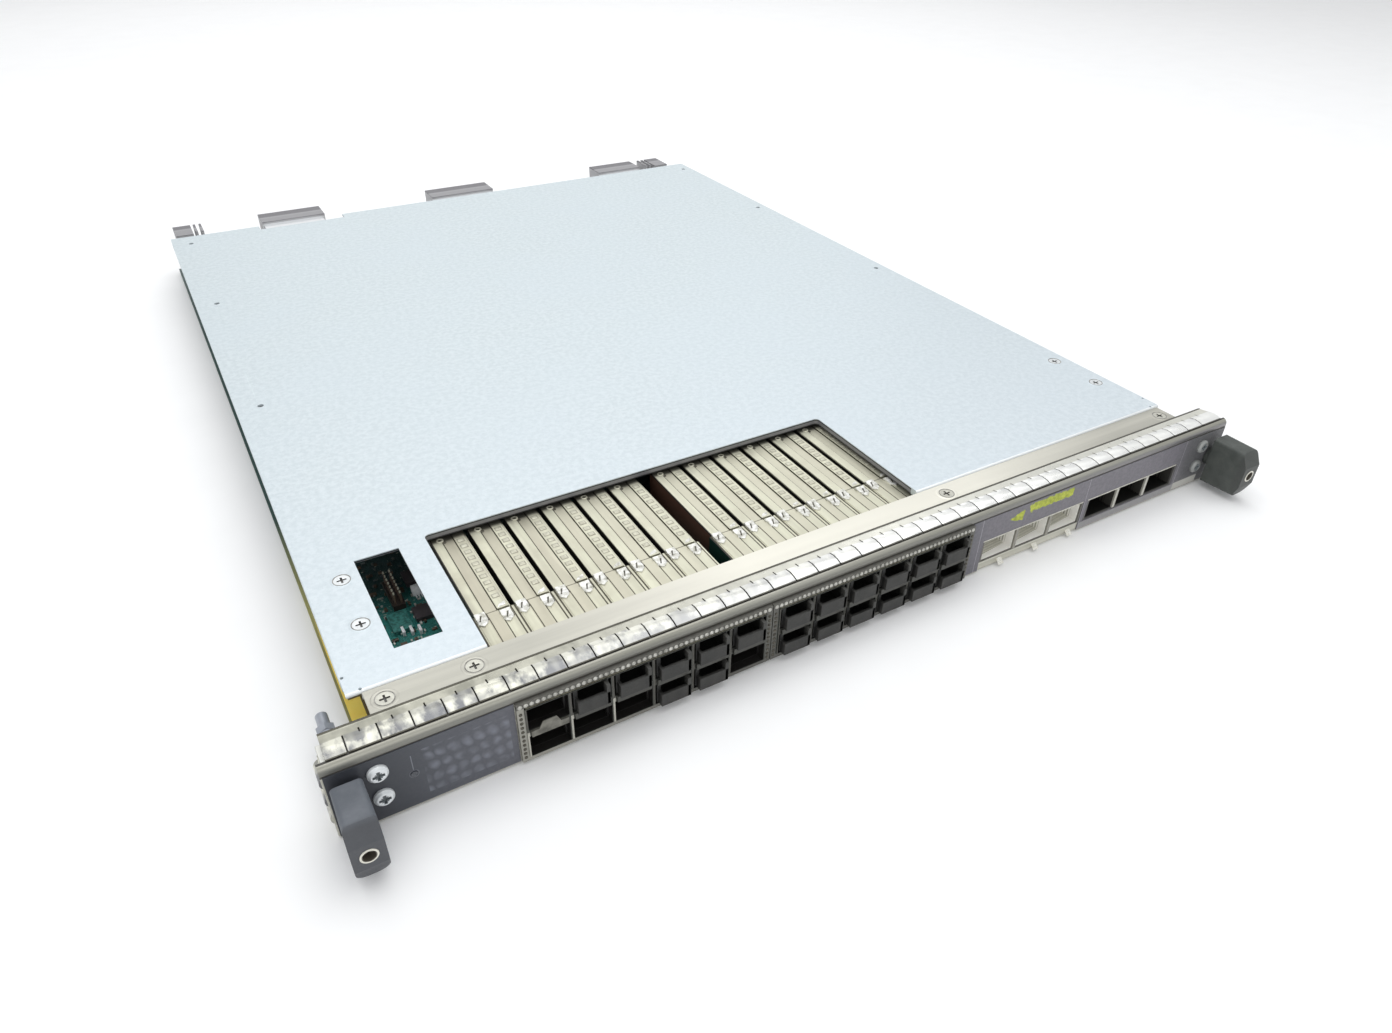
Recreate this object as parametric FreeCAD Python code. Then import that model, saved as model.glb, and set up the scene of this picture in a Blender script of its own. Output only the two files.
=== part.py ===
"""Pull-out line card of a chassis network switch, lying on its underside.

Axes: X runs along the faceplate, Y from the faceplate to the backplane connectors, Z up.
Each piece is modelled with Y = 0 on the faceplate's front and Z = 0 on the underside.
On export all pieces shift together along Y, so that the origin is the bottom centre of the box.
All lengths are in millimetres.
"""
import FreeCAD, Part

import math
import os

from FreeCAD import Vector

# ---------------------------------------------------------------- card and sheet metal
card_width = 432.0
card_height = 32.8
sheet = 1.2
overlay_thickness = 0.4
overlay_edge = 0.6
overlay_drop = 3.8
lip_radius = 2.6
foot_radius = 1.6
top_flange_reach = 15.0
top_flange_inset = 3.0
bottom_flange_reach = 12.0

# ---------------------------------------------------------------- circuit board and pan
board_inset = 14.6
board_thickness = 2.0
board_front = 2.2
board_rear = 536.0
edge_tongue = 5.0
pan_gap = 0.5
pan_setback = 16.0

# ---------------------------------------------------------------- top cover
cover_drop = 1.7
cover_inset = 0.2
cover_front = 28.3
cover_setback = 20.6
side_flange_drop = 6.0
front_flange_drop = 4.0
flange_setback = 9.0
corner_tab = 5.0
relief_radius = 0.6
relief_inset = 0.9
fold_radius = 1.1
cutout_left_margin = 1.2
cutout_right_overlap = 4.4
cutout_lap = 2.7
cutout_corner = 2.0
rim_drop = 3.0
window_offset = 20.95
window_width = 17.4
window_front = 42.9
window_length = 55.4
notch_left_margin = 3.5
notch_right_margin = 11.0
notch_depth = 7.4

# ---------------------------------------------------------------- front bracket
bracket_drop = 0.5
bracket_left_inset = 19.9
bracket_right_inset = 16.6
bracket_lap = 9.5
cover_clearance = 0.3

# ---------------------------------------------------------------- small-form-factor cages
left_margin = 64.45
port_width = 13.6
port_height = 9.4
cage_wall = 0.3
column_gap = 1.85
cage_floor = 0.3
mid_web = 3.3
cage_roof = 1.0
cage_proud = 1.6
cage_rear = 104.0
joined_rear = 50.0
mouth_flare = 0.65
mouth_depth = 3.6
module_depth = 48.0
connector_depth = 10.0
connector_lap = 2.0
contact_slot = 1.8
strip_height = 0.5
strip_width = 4.1
gasket_side = 2.6
gasket_top = 2.2
gasket_proud = 1.1
latch_proud = 1.0
latch_tab_height = 3.0
open_upper = ((0,), ())
open_lower = ((0, 1, 2, 5), ())

# ---------------------------------------------------------------- dust plugs
plug_clearance = 0.15
plug_seat = 0.4
plug_insert = 9.0
plug_lip = 2.4
plug_lip_height = 5.9
plug_wall = 1.2
plug_face_width = 12.3

# ---------------------------------------------------------------- quad cages
right_margin = 31.3
group_gap = 3.25
mixed_gap = 11.2
quad_columns = 3
quad_web = 1.6
quad_width = 19.0
quad_height = 10.6
quad_floor = 2.4
quad_wall = 0.6
quad_rear = 72.0
quad_module_depth = 50.0
quad_connector_depth = 12.0
opening_gap = 0.3
spring_width = 3.0
spring_reach = 2.2
spring_offset = 3.2

# ---------------------------------------------------------------- spring-finger strips
finger_pitch = 10.4
finger_slit = 0.5
first_slit = 9.7
strip_end = 3.0
strip_sheet = 0.25
strip_front = 2.4
finger_top = 7.2
finger_root = 9.8
band_seat = 13.2
strip_back = 14.6
finger_crown = 1.4
tip_lift = 0.3
root_lift = 0.6
tick_length = 2.4
end_strip_depth = 8.0
end_bump_pitch = 8.4
end_bump_count = 3
end_bump_radius = 3.2
end_bump_height = 1.9

# ---------------------------------------------------------------- jackscrews and handles
screw_inset = 6.3
screw_height = 14.7
shaft_radius = 2.75
running_clearance = 0.06
fit_clearance = 0.02
carrier_depth = 12.4
carrier_outer = 4.9
carrier_inner = 13.1
collar_y = 31.0
collar_width = 5.9
collar_length = 3.0
thread_radius = 2.1
thread_length = 7.0
thread_chamfer = 0.5
ring_radius = 4.5
ring_thickness = 1.0
axial_gap = 0.3
handle_gap = 2.9
handle_reach = 22.1
handle_top_reach = 18.5
handle_foot_reach = 19.5
handle_height = 24.2
handle_back_width = 9.9
handle_front_width = 10.6
handle_heel = 1.5
handle_brow = 2.4
handle_chin = 4.4
boss_radius = 4.4
ferrule_radius = 2.9
ferrule_length = 9.5
ferrule_proud = 0.2
ferrule_hex = 3.8
ferrule_recess = 5.0

# ---------------------------------------------------------------- screws and posts
face_screw_inset = 16.0
face_screw_heights = (22.8, 11.5)
face_head_radius = 3.35
face_head_height = 1.9
screw_radius = 1.5
screw_clearance = 0.06
csk_radius = 3.2
csk_depth = 1.15
csk_length = 6.0
post_width = 6.0
cover_screw_insets = (13.2, 8.2)
cover_screw_setbacks = (32.7, 60.7)
plain_post_insets = (11.2, 6.7)
plain_post_setbacks = (272.0, 130.4, 15.4)
bracket_screw_insets = (25.7, 22.4)
bracket_screw_gaps = (8.25, 6.75)
bracket_screw_setback = 6.2
witness_hole_radius = 1.5
recess_width = 0.8
recess_length = 3.6
recess_depth = 1.0

# ---------------------------------------------------------------- rear connectors and guides
connector_widths = (43.5, 49.0, 38.0)
left_connector_inset = 60.9
middle_connector_offset = 8.5
right_connector_inset = 37.4
connector_overhang = 5.5
connector_block_depth = 19.5
connector_wafer_depth = 38.5
connector_drop = 1.4
wafer_drop = 3.2
slot_pitch = 3.7
slot_width = 1.5
slot_depth = 5.0
slot_margin = 2.4
guide_insets = (3.9, 12.4)
guide_width = 11.5
guide_overhang = 4.0
guide_depth = 21.0
guide_bore = 3.5
guide_bore_depth = 18.0
guide_bore_height = 18.0
key_width = 7.0
key_setback = 4.0
key_fin = 1.6

# ---------------------------------------------------------------- parts on the board
sink_offsets = (-95.0, 75.0, -20.0)
sink_width = 104.0
sink_depth = 92.0
sink_base = 4.0
sink_fin = 1.2
sink_fin_count = 14
sink_headroom = 1.6
asic_size = 45.0
asic_height = 3.0
sink_foot = 5.0
brick_width = 58.0
brick_depth = 36.8
brick_height = 12.7
brick_inset = 51.4
brick_side_gap = 7.0
brick_gap = 13.2
brick_rows = 3
processor_inset = 66.4
processor_width = 85.0
processor_depth = 110.0
processor_lift = 8.0
memory_length = 68.0
memory_pitch = 12.0
memory_count = 3
memory_height = 18.0
socket_width = 6.0
socket_height = 5.0
socket_lap = 2.0
module_sheet = 1.2
header_offset = (4.0, 5.7)
header_rows = 7
header_pitch = 2.54
pin_half = 0.32
pin_height = 8.6
chip_offsets = ((1.5, -11.8, 8.0, 12.0), (11.0, -10.3, 7.0, 8.0), (13.5, 13.7, 6.5, 9.0))
chip_height = 2.0
led_inset = 26.6
led_height = 15.8
led_radius = 1.2
led_proud = 0.4
led_reach = 7.0

# ---------------------------------------------------------------- values worked out from the above
half_width = card_width / 2
board_half = half_width - board_inset
cover_half = board_half - cover_inset
cover_top = card_height - cover_drop
cover_rear = board_rear - cover_setback
pan_rear = board_rear - pan_setback
web_front = overlay_thickness
web_back = web_front + sheet
board_bottom = sheet
board_top = board_bottom + board_thickness
cover_under = cover_top - sheet
bracket_top = cover_top - bracket_drop
bracket_under = bracket_top - sheet
bracket_rear = cover_front - cover_clearance
bracket_left = bracket_left_inset - half_width
bracket_right = half_width - bracket_right_inset
flange_top = card_height
flange_under = card_height - sheet
lower_floor = board_top + cage_floor
upper_floor = lower_floor + port_height + mid_web
cage_top = upper_floor + port_height + cage_roof
cage_front = -cage_proud
column_half = port_width / 2 + cage_wall
port_pitch = 2 * column_half + column_gap
quad_pitch = quad_width + quad_web
quad_half = quad_columns * quad_pitch / 2
quad_centres = (half_width - right_margin - 3 * quad_half - group_gap,
                half_width - right_margin - quad_half)
banks_left = left_margin - half_width
banks_right = quad_centres[0] - quad_half - mixed_gap
columns = int(((banks_right - banks_left) / 2 - gasket_side) / port_pitch)
bank_half = columns * port_pitch / 2
bank_centres = (banks_left + bank_half, banks_right - bank_half)
quad_bottom = board_top + quad_floor
quad_top = quad_bottom + quad_height + quad_wall
quad_front = web_front - opening_gap
cutout_left = banks_left - cutout_left_margin
cutout_right = banks_right - cutout_right_overlap
cutout_rear = cage_rear - cutout_lap
window_centre = banks_left - window_offset
window_rear = window_front + window_length
finger_count = int((card_width - strip_end - first_slit) / finger_pitch)
carrier_back = web_back + carrier_depth
carrier_top = bracket_under - axial_gap
connector_rear = board_rear + connector_overhang
connector_block_front = connector_rear - connector_block_depth
connector_wafer_front = connector_rear - connector_wafer_depth
connector_top = card_height - connector_drop
connector_starts = (left_connector_inset - board_half,
                    middle_connector_offset - connector_widths[1] / 2,
                    board_half - right_connector_inset - connector_widths[2])
connector_spans = tuple((x, x + w) for x, w in zip(connector_starts, connector_widths))
notch_left = connector_spans[0][0] - notch_left_margin
notch_right = connector_spans[0][1] + notch_right_margin
guide_rear = board_rear + guide_overhang
guide_front = guide_rear - guide_depth
key_front = guide_front + key_setback
guide_lefts = (guide_insets[0] - board_half, board_half - guide_insets[1] - guide_width)
depth_centre = (connector_rear - handle_reach - ferrule_proud) / 2
thread_end = collar_y + collar_length + thread_length
cover_screw_spots = tuple((x, cover_front + y) for x in
                          (cover_screw_insets[0] - cover_half, cover_half - cover_screw_insets[1])
                          for y in cover_screw_setbacks)
plain_post_spots = tuple((x, cover_rear - y) for x in
                         (plain_post_insets[0] - cover_half, cover_half - plain_post_insets[1])
                         for y in plain_post_setbacks)
bracket_screw_spots = tuple((x, bracket_rear - bracket_screw_setback) for x in
                            (bracket_screw_insets[0] - half_width,
                             banks_left - bracket_screw_gaps[0],
                             banks_right + bracket_screw_gaps[1],
                             half_width - bracket_screw_insets[1]))
memory_depth = (memory_count - 1) * memory_pitch + socket_width
row_gap = (connector_wafer_front - cage_rear - sink_depth - processor_depth - memory_depth) / 4
sink_row = cage_rear + row_gap + sink_depth / 2
processor_row = sink_row + sink_depth / 2 + row_gap + processor_depth / 2
memory_row = processor_row + processor_depth / 2 + row_gap + memory_depth / 2
sink_centres = ((sink_offsets[0], sink_row), (sink_offsets[1], sink_row),
                (sink_offsets[2], processor_row))
module_column = board_half - processor_inset
brick_spots = [(brick_inset - board_half, memory_row - k * (brick_depth + brick_gap))
               for k in range(brick_rows)]
brick_spots.append((brick_spots[0][0] + brick_width + brick_side_gap, memory_row))
header_spot = (window_centre + header_offset[0], window_rear + header_offset[1])
chip_spots = [(window_centre + dx, window_rear + dy, w, d) for dx, dy, w, d in chip_offsets]
led_spot = (led_inset - half_width, led_height)


# ---------------------------------------------------------------- basic solids
def block(x0, x1, y0, y1, z0, z1):
    """Box between two opposite corners."""
    return Part.makeBox(x1 - x0, y1 - y0, z1 - z0, Vector(x0, y0, z0))


def rod(radius, start, length, axis=Vector(0, 1, 0)):
    """Cylinder from a start point along an axis."""
    return Part.makeCylinder(radius, length, Vector(*start), axis)


def prism(points, direction):
    """Closed flat outline pushed along a direction."""
    outline = Part.makePolygon([Vector(*p) for p in points + points[:1]])
    return Part.Face(outline).extrude(Vector(*direction))


def hexagon(x, z, across_flats):
    """Corner points of an upright hexagon in the XZ plane, as (x, z)."""
    corner = across_flats / math.sqrt(3)
    turns = [math.radians(60 * k + 30) for k in range(6)]
    return [(x + corner * math.cos(a), z + corner * math.sin(a)) for a in turns]


def join(shapes):
    """One solid out of pieces that touch or overlap, with flat faces merged."""
    return shapes[0].multiFuse(shapes[1:]).removeSplitter() if len(shapes) > 1 else shapes[0]


def carve(shape, tools):
    """A solid with tools cut away."""
    return shape.cut(Part.makeCompound(tools)).removeSplitter()


def rounded(shape, radius, picks):
    """Fillet the edges for which picks(edge) is true."""
    edges = [edge for edge in shape.Edges if picks(edge)]
    return shape.makeFillet(radius, edges)


def along_x(edge, y, z):
    """True for a long edge that runs along X at this y and z."""
    centre = edge.CenterOfMass
    box = edge.BoundBox
    near = abs(centre.y - y) < 0.01 and abs(centre.z - z) < 0.01
    return near and box.XLength > 10 * (box.YLength + box.ZLength)


def upright(edge, x, y):
    """True for an edge that runs along Z at this x and y."""
    centre = edge.CenterOfMass
    return abs(centre.x - x) < 0.01 and abs(centre.y - y) < 0.01 and edge.BoundBox.ZLength > 0.5


def column_centres(centre, count, pitch):
    """X of each column in a row that is centred on one x."""
    return [centre + (k - (count - 1) / 2) * pitch for k in range(count)]


# ---------------------------------------------------------------- faceplate
def faceplate():
    """Folded channel: web in front, flanges turned back at the top and bottom."""
    outer = block(-half_width, half_width, web_front, top_flange_reach, 0, card_height)
    outer = rounded(outer, lip_radius, lambda e: along_x(e, web_front, card_height))
    outer = rounded(outer, foot_radius, lambda e: along_x(e, web_front, 0))
    hollow = block(-half_width, half_width, web_back, top_flange_reach, sheet, flange_under)
    hollow = rounded(hollow, lip_radius - sheet, lambda e: along_x(e, web_back, flange_under))
    low = block(-half_width, half_width, bottom_flange_reach, top_flange_reach, 0, sheet)
    tools = [hollow, low]
    for x in (-half_width, half_width - top_flange_inset):
        tools.append(block(x, x + top_flange_inset, web_front + lip_radius, top_flange_reach,
                           flange_under - sheet, card_height))
    for centre in bank_centres:
        tools.append(block(centre - bank_half - opening_gap, centre + bank_half + opening_gap,
                           0, web_back, board_top - opening_gap, cage_top + opening_gap))
    for centre in quad_centres:
        tools.append(block(centre - quad_half - opening_gap, centre + quad_half + opening_gap,
                           0, web_back, quad_bottom - quad_wall, quad_top + opening_gap))
    for side in (-1, 1):
        x = side * (half_width - screw_inset)
        tools.append(rod(shaft_radius + axial_gap, (x, 0, screw_height), web_back))
        for z in face_screw_heights:
            spot = (side * (half_width - face_screw_inset), 0, z)
            tools.append(rod(screw_radius + screw_clearance, spot, web_back))
    tools.append(rod(led_radius + screw_clearance, (led_spot[0], 0, led_spot[1]), web_back))
    return carve(outer, tools)


def faceplate_overlay():
    """Thin legend panel bonded to the faceplate, open around the ports and screws."""
    top = card_height - overlay_drop
    panel = block(-half_width + overlay_edge, half_width - overlay_edge, 0, overlay_thickness,
                  overlay_edge, top)
    tools = []
    reach = bank_half + gasket_side + opening_gap
    tools.append(block(bank_centres[0] - reach, bank_centres[1] + reach, 0, overlay_thickness,
                       0, card_height))
    for centre, low in zip(quad_centres, (0, quad_bottom - quad_wall)):
        tools.append(block(centre - quad_half - opening_gap, centre + quad_half + opening_gap,
                           0, overlay_thickness, low, quad_top + opening_gap))
    for side in (-1, 1):
        x = side * (half_width - screw_inset)
        tools.append(rod(shaft_radius + axial_gap, (x, 0, screw_height), overlay_thickness))
        for z in face_screw_heights:
            spot = (side * (half_width - face_screw_inset), 0, z)
            tools.append(rod(screw_radius + screw_clearance, spot, overlay_thickness))
    tools.append(rod(led_radius + screw_clearance, (led_spot[0], 0, led_spot[1]), web_back))
    return panel.cut(Part.makeCompound(tools))


def emi_top_strip():
    """Stamped spring strip on the top flange: a flat band with crowned fingers in front."""
    left = -half_width + strip_end
    right = half_width - strip_end
    low = flange_top
    crown = finger_crown - strip_sheet
    shoulder = (strip_front + finger_top) / 2
    rise = [(strip_front, tip_lift), (shoulder, 0.8 * crown), (finger_top, crown),
            (finger_root, root_lift), (band_seat, 0), (strip_back, 0)]
    outline = [(left, y, low + z + strip_sheet) for y, z in rise]
    outline += [(left, y, low + z) for y, z in reversed(rise)]
    strip = prism(outline, (right - left, 0, 0))
    slits = []
    for k in range(finger_count):
        x = -half_width + first_slit + k * finger_pitch
        slits.append(block(x - finger_slit / 2, x + finger_slit / 2, strip_front - 1,
                           finger_root, low - 1, low + finger_crown + 1))
        mid = x + finger_pitch / 2
        slits.append(block(mid - finger_slit / 2, mid + finger_slit / 2, finger_root - tick_length / 2,
                           finger_root + tick_length / 2, low - 1, low + finger_crown + 1))
    return carve(strip, slits)


def emi_end_strip(side):
    """Short spring strip on the outer face of a jackscrew carrier, with three bumps."""
    seat = half_width - screw_inset + carrier_outer
    y0 = web_back + 0.4
    plate = block(seat, seat + strip_sheet, y0, y0 + end_strip_depth, board_top + 0.4, carrier_top)
    pieces = [plate]
    middle = (board_top + carrier_top) / 2
    for z in column_centres(middle, end_bump_count, end_bump_pitch):
        x = seat + strip_sheet + end_bump_height - end_bump_radius
        bump = rod(end_bump_radius, (x, y0, z), end_strip_depth)
        keep = block(seat, seat + end_bump_radius, y0, y0 + end_strip_depth, board_top, carrier_top)
        pieces.append(bump.common(keep))
    strip = join(pieces)
    return strip if side > 0 else strip.mirror(Vector(), Vector(1, 0, 0))


# ---------------------------------------------------------------- bracket and top cover
def phillips(x, y, top):
    """Cross recess cut down into a screw head."""
    half = recess_length / 2
    thin = recess_width / 2
    low = top - recess_depth
    one = block(x - half, x + half, y - thin, y + thin, low, top)
    two = block(x - thin, x + thin, y - half, y + half, low, top)
    return [one, two]


def csk_tool(x, y, top, gap):
    """Countersink and clearance hole for a flat-head screw, cut from the top."""
    cone = Part.makeCone(screw_radius + gap, csk_radius + gap, csk_depth,
                         Vector(x, y, top - csk_depth))
    hole = rod(screw_radius + gap, (x, y, top - sheet), sheet, Vector(0, 0, 1))
    return [cone, hole]


def csk_screw(x, y, top):
    """Flat-head screw with its head flush with the top."""
    cone = Part.makeCone(screw_radius, csk_radius, csk_depth, Vector(x, y, top - csk_depth))
    shank = rod(screw_radius, (x, y, top - csk_length), csk_length, Vector(0, 0, 1))
    return carve(join([cone, shank]), phillips(x, y, top))


def front_bracket():
    """Stamped strip between the faceplate flange and the cover, stepped under the flange."""
    lap = block(bracket_left, bracket_right, top_flange_reach - bracket_lap,
                top_flange_reach + sheet, flange_under - sheet, flange_under)
    plate = block(bracket_left, bracket_right, top_flange_reach + sheet / 2, bracket_rear,
                  bracket_under, bracket_top)
    tools = []
    for x, y in bracket_screw_spots:
        tools += csk_tool(x, y, bracket_top, screw_clearance)
    return carve(join([lap, plate]), tools)


def top_cover():
    """Flat lid with turned-down edges, a cut-out over the cages and a small window."""
    half = cover_half
    corner = half - corner_tab
    start = cover_front + flange_setback
    skin = block(-half, half, cover_front, cover_rear, cover_under, cover_top)
    pieces = [skin]
    for side in (-1, 1):
        x0, x1 = sorted((side * half, side * (half - sheet)))
        pieces.append(block(x0, x1, start, cover_rear, cover_top - side_flange_drop, cover_top))
    lip_bottom = cover_top - front_flange_drop
    for x0, x1 in ((-corner, cutout_left), (cutout_right, corner)):
        pieces.append(block(x0, x1, cover_front, cover_front + sheet, lip_bottom, cover_top))
    rim = block(cutout_left - sheet, cutout_right + sheet, cover_front, cutout_rear + sheet,
                cover_top - rim_drop, cover_top)
    rim = rounded(rim, cutout_corner + sheet,
                  lambda e: upright(e, cutout_left - sheet, cutout_rear + sheet)
                  or upright(e, cutout_right + sheet, cutout_rear + sheet))
    pieces.append(rim)
    lid = join(pieces)
    lid = rounded(lid, fold_radius, lambda e: along_x(e, cover_front, cover_top))
    hole = block(cutout_left, cutout_right, cover_front, cutout_rear, 0, card_height)
    hole = rounded(hole, cutout_corner,
                   lambda e: upright(e, cutout_left, cutout_rear)
                   or upright(e, cutout_right, cutout_rear))
    front = block(cutout_left, cutout_right, 0, cover_front + cutout_corner, 0, card_height)
    tools = [hole, front]
    tools.append(block(window_centre - window_width / 2, window_centre + window_width / 2,
                       window_front, window_rear, cover_under, cover_top))
    tools.append(block(notch_left, notch_right, cover_rear - notch_depth, cover_rear,
                       cover_under, cover_top))
    for side in (-1, 1):
        for x, y in ((side * (half - relief_inset), start), (side * corner, cover_front + sheet)):
            tools.append(rod(relief_radius, (x, y, 0), card_height, Vector(0, 0, 1)))
    for x, y in cover_screw_spots:
        tools += csk_tool(x, y, cover_top, screw_clearance)
    for x, y in plain_post_spots:
        tools.append(rod(witness_hole_radius, (x, y, cover_under), sheet, Vector(0, 0, 1)))
    return carve(lid, tools)


def post(x, y, top):
    """Hexagonal threaded post standing on the board."""
    corner = post_width / math.sqrt(3)
    turns = [math.radians(60 * k) for k in range(6)]
    points = [(x + corner * math.cos(a), y + corner * math.sin(a), board_top) for a in turns]
    body = prism(points, (0, 0, top - board_top))
    deep = csk_length + 0.5
    return body.cut(rod(screw_radius + screw_clearance, (x, y, top - deep), deep, Vector(0, 0, 1)))


def cover_standoffs():
    """Posts under the cover."""
    return Part.makeCompound([post(x, y, cover_under) for x, y in cover_screw_spots + plain_post_spots])


def bracket_standoffs():
    """Posts under the front bracket."""
    return Part.makeCompound([post(x, y, bracket_under) for x, y in bracket_screw_spots])


def cover_screws():
    """Flat-head screws in the cover."""
    return Part.makeCompound([csk_screw(x, y, cover_top) for x, y in cover_screw_spots])


def bracket_screws():
    """Flat-head screws in the front bracket."""
    return Part.makeCompound([csk_screw(x, y, bracket_top) for x, y in bracket_screw_spots])


def faceplate_screws():
    """Round-head screws through the faceplate into the jackscrew carriers."""
    screws = []
    for side in (-1, 1):
        x = side * (half_width - face_screw_inset)
        for z in face_screw_heights:
            head = rod(face_head_radius, (x, -face_head_height, z), face_head_height)
            rim = [e for e in head.Edges if abs(e.CenterOfMass.y + face_head_height) < 0.01]
            head = head.makeChamfer(face_head_height * 0.45, rim)
            shank = rod(screw_radius, (x, 0, z), web_back + csk_length)
            half = recess_length / 2
            thin = recess_width / 2
            cross = [block(x - half, x + half, -face_head_height, -face_head_height + recess_depth,
                           z - thin, z + thin),
                     block(x - thin, x + thin, -face_head_height, -face_head_height + recess_depth,
                           z - half, z + half)]
            screws.append(carve(join([head, shank]), cross))
    return Part.makeCompound(screws)


# ---------------------------------------------------------------- board, pan and backplane parts
def main_board():
    """Bare circuit board; its long edges stick out on both sides as guide tongues."""
    return block(-board_half, board_half, board_front, board_rear, board_bottom, board_top)


def base_pan():
    """Flat stiffener under the board, inside the guide tongues."""
    half = board_half - edge_tongue
    return block(-half, half, bottom_flange_reach + pan_gap, pan_rear, 0, sheet)


def backplane_connector(x0, x1):
    """Moulded press-fit housing with a row of wafer slots open to the rear and the top."""
    housing = block(x0, x1, connector_block_front, connector_rear, board_top, connector_top)
    wafers = block(x0 + sheet, x1 - sheet, connector_wafer_front, connector_block_front,
                   board_top, connector_top - wafer_drop)
    count = int((x1 - x0 - 2 * slot_margin) / slot_pitch)
    tools = []
    for x in column_centres((x0 + x1) / 2, count, slot_pitch):
        tools.append(block(x - slot_width / 2, x + slot_width / 2, connector_rear - slot_depth,
                           connector_rear, board_top + slot_margin, connector_top - slot_margin))
    return carve(join([housing, wafers]), tools)


def guide_block(left, inward):
    """Moulded socket for a backplane guide pin, with two keying fins beside it."""
    right = left + guide_width
    body = block(left, right, guide_front, guide_rear, board_top, connector_top)
    centre = (left + right) / 2
    bore = rod(guide_bore, (centre, guide_rear - guide_bore_depth, guide_bore_height),
               guide_bore_depth)
    near = right if inward > 0 else left
    far = near + inward * key_width
    foot = block(min(near, far), max(near, far), key_front, guide_rear, board_top,
                 board_top + slot_margin)
    pieces = [body, foot]
    for edge in (far, far - inward * (key_width - 2 * key_fin)):
        x0, x1 = sorted((edge, edge - inward * key_fin))
        pieces.append(block(x0, x1, key_front, guide_rear, board_top, connector_top))
    return carve(join(pieces), [bore])


# ---------------------------------------------------------------- port cages
def sfp_cage(centre):
    """Stacked double-row cage: one block at the mouth, separate columns behind it."""
    base_top = cage_top - strip_height
    pieces = [block(centre - bank_half, centre + bank_half, cage_front, joined_rear,
                    board_top, base_top)]
    tools = []
    for x in column_centres(centre, columns, port_pitch):
        pieces.append(block(x - column_half, x + column_half, joined_rear, cage_rear,
                            board_top, base_top))
        for floor in (lower_floor, upper_floor):
            tools.append(block(x - port_width / 2, x + port_width / 2, cage_front,
                               module_depth + connector_depth, floor, floor + port_height))
            flare = mouth_flare / 3
            tools.append(block(x - port_width / 2 - mouth_flare, x + port_width / 2 + mouth_flare,
                               cage_front, cage_front + mouth_depth,
                               floor - flare, floor + port_height + flare))
        left = x - column_half
        right = x + column_half
        pieces.append(block(left, left + strip_width, joined_rear, cage_rear - 1,
                            board_top + 1, cage_top))
        pieces.append(block(right - strip_width - 1, right - 0.6, joined_rear, cage_rear - 1,
                            board_top + 1, cage_top))
        pieces.append(block(left + 0.4, right - 0.4, bracket_rear, joined_rear - 3,
                            board_top + 1, cage_top - strip_height / 2))
    return carve(join(pieces), tools)


def sfp_gasket(centre):
    """Conductive frame around the mouth of a cage, pressed against the faceplate."""
    frame = block(centre - bank_half - gasket_side, centre + bank_half + gasket_side,
                  -gasket_proud, overlay_thickness,
                  sheet - 0.2, cage_top + gasket_top)
    hole = block(centre - bank_half, centre + bank_half, cage_front, web_back,
                 board_top, cage_top)
    return frame.cut(hole)


def sfp_connectors():
    """Contact blocks standing at the back of every small port."""
    blocks = []
    for centre in bank_centres:
        for x in column_centres(centre, columns, port_pitch):
            for floor in (lower_floor, upper_floor):
                half = port_width / 2 - cage_roof
                front = module_depth - connector_lap
                body = block(x - half, x + half, front, module_depth + connector_depth,
                             floor, floor + port_height - cage_roof)
                middle = floor + port_height / 2 - cage_wall
                slot = block(x - half + contact_slot, x + half - contact_slot, front,
                             front + connector_depth / 2, middle - contact_slot / 2,
                             middle + contact_slot / 2)
                blocks.append(body.cut(slot))
    return Part.makeCompound(blocks)


def sfp_latch_bars():
    """Plated bars across the mouths, between the lower and the upper ports."""
    low = lower_floor + port_height + mouth_flare / 3 + 0.2
    high = upper_floor - mouth_flare / 3
    bars = []
    for bank, centre in enumerate(bank_centres):
        for k, x in enumerate(column_centres(centre, columns, port_pitch)):
            half = port_width / 2
            bar = block(x - half, x + half, cage_front - latch_proud, cage_front, low, high)
            if k in open_upper[bank]:
                y = cage_front - latch_proud
                tongue = prism([(x - 4, y, high), (x + 4, y, high),
                                (x + 2.5, y, high + latch_tab_height),
                                (x - 2.5, y, high + latch_tab_height)], (0, 0.4, 0))
                bar = join([bar, tongue])
            bars.append(bar)
    return Part.makeCompound(bars)


def dust_plug(x, floor):
    """Moulded port cap: an open-topped scoop with a low front wall for the fingertip."""
    half = port_width / 2 - plug_clearance
    high = port_height - 2 * plug_clearance
    face = plug_face_width / 2
    mouth = cage_front + plug_seat
    body = block(x - half, x + half, mouth, plug_insert, floor, floor + high)
    scoop = block(x - face, x + face, cage_front - plug_lip, mouth, floor, floor + plug_lip_height)
    pocket = block(x - face + plug_wall, x + face - plug_wall, cage_front - plug_lip + plug_wall,
                   plug_insert - plug_wall, floor + plug_wall, floor + port_height)
    return carve(join([body, scoop]), [pocket])


def dust_plugs(bank):
    """Caps in every closed port of one cage."""
    caps = []
    for k, x in enumerate(column_centres(bank_centres[bank], columns, port_pitch)):
        if k not in open_upper[bank]:
            caps.append(dust_plug(x, upper_floor))
        if k not in open_lower[bank]:
            caps.append(dust_plug(x, lower_floor))
    return Part.makeCompound(caps)


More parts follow.
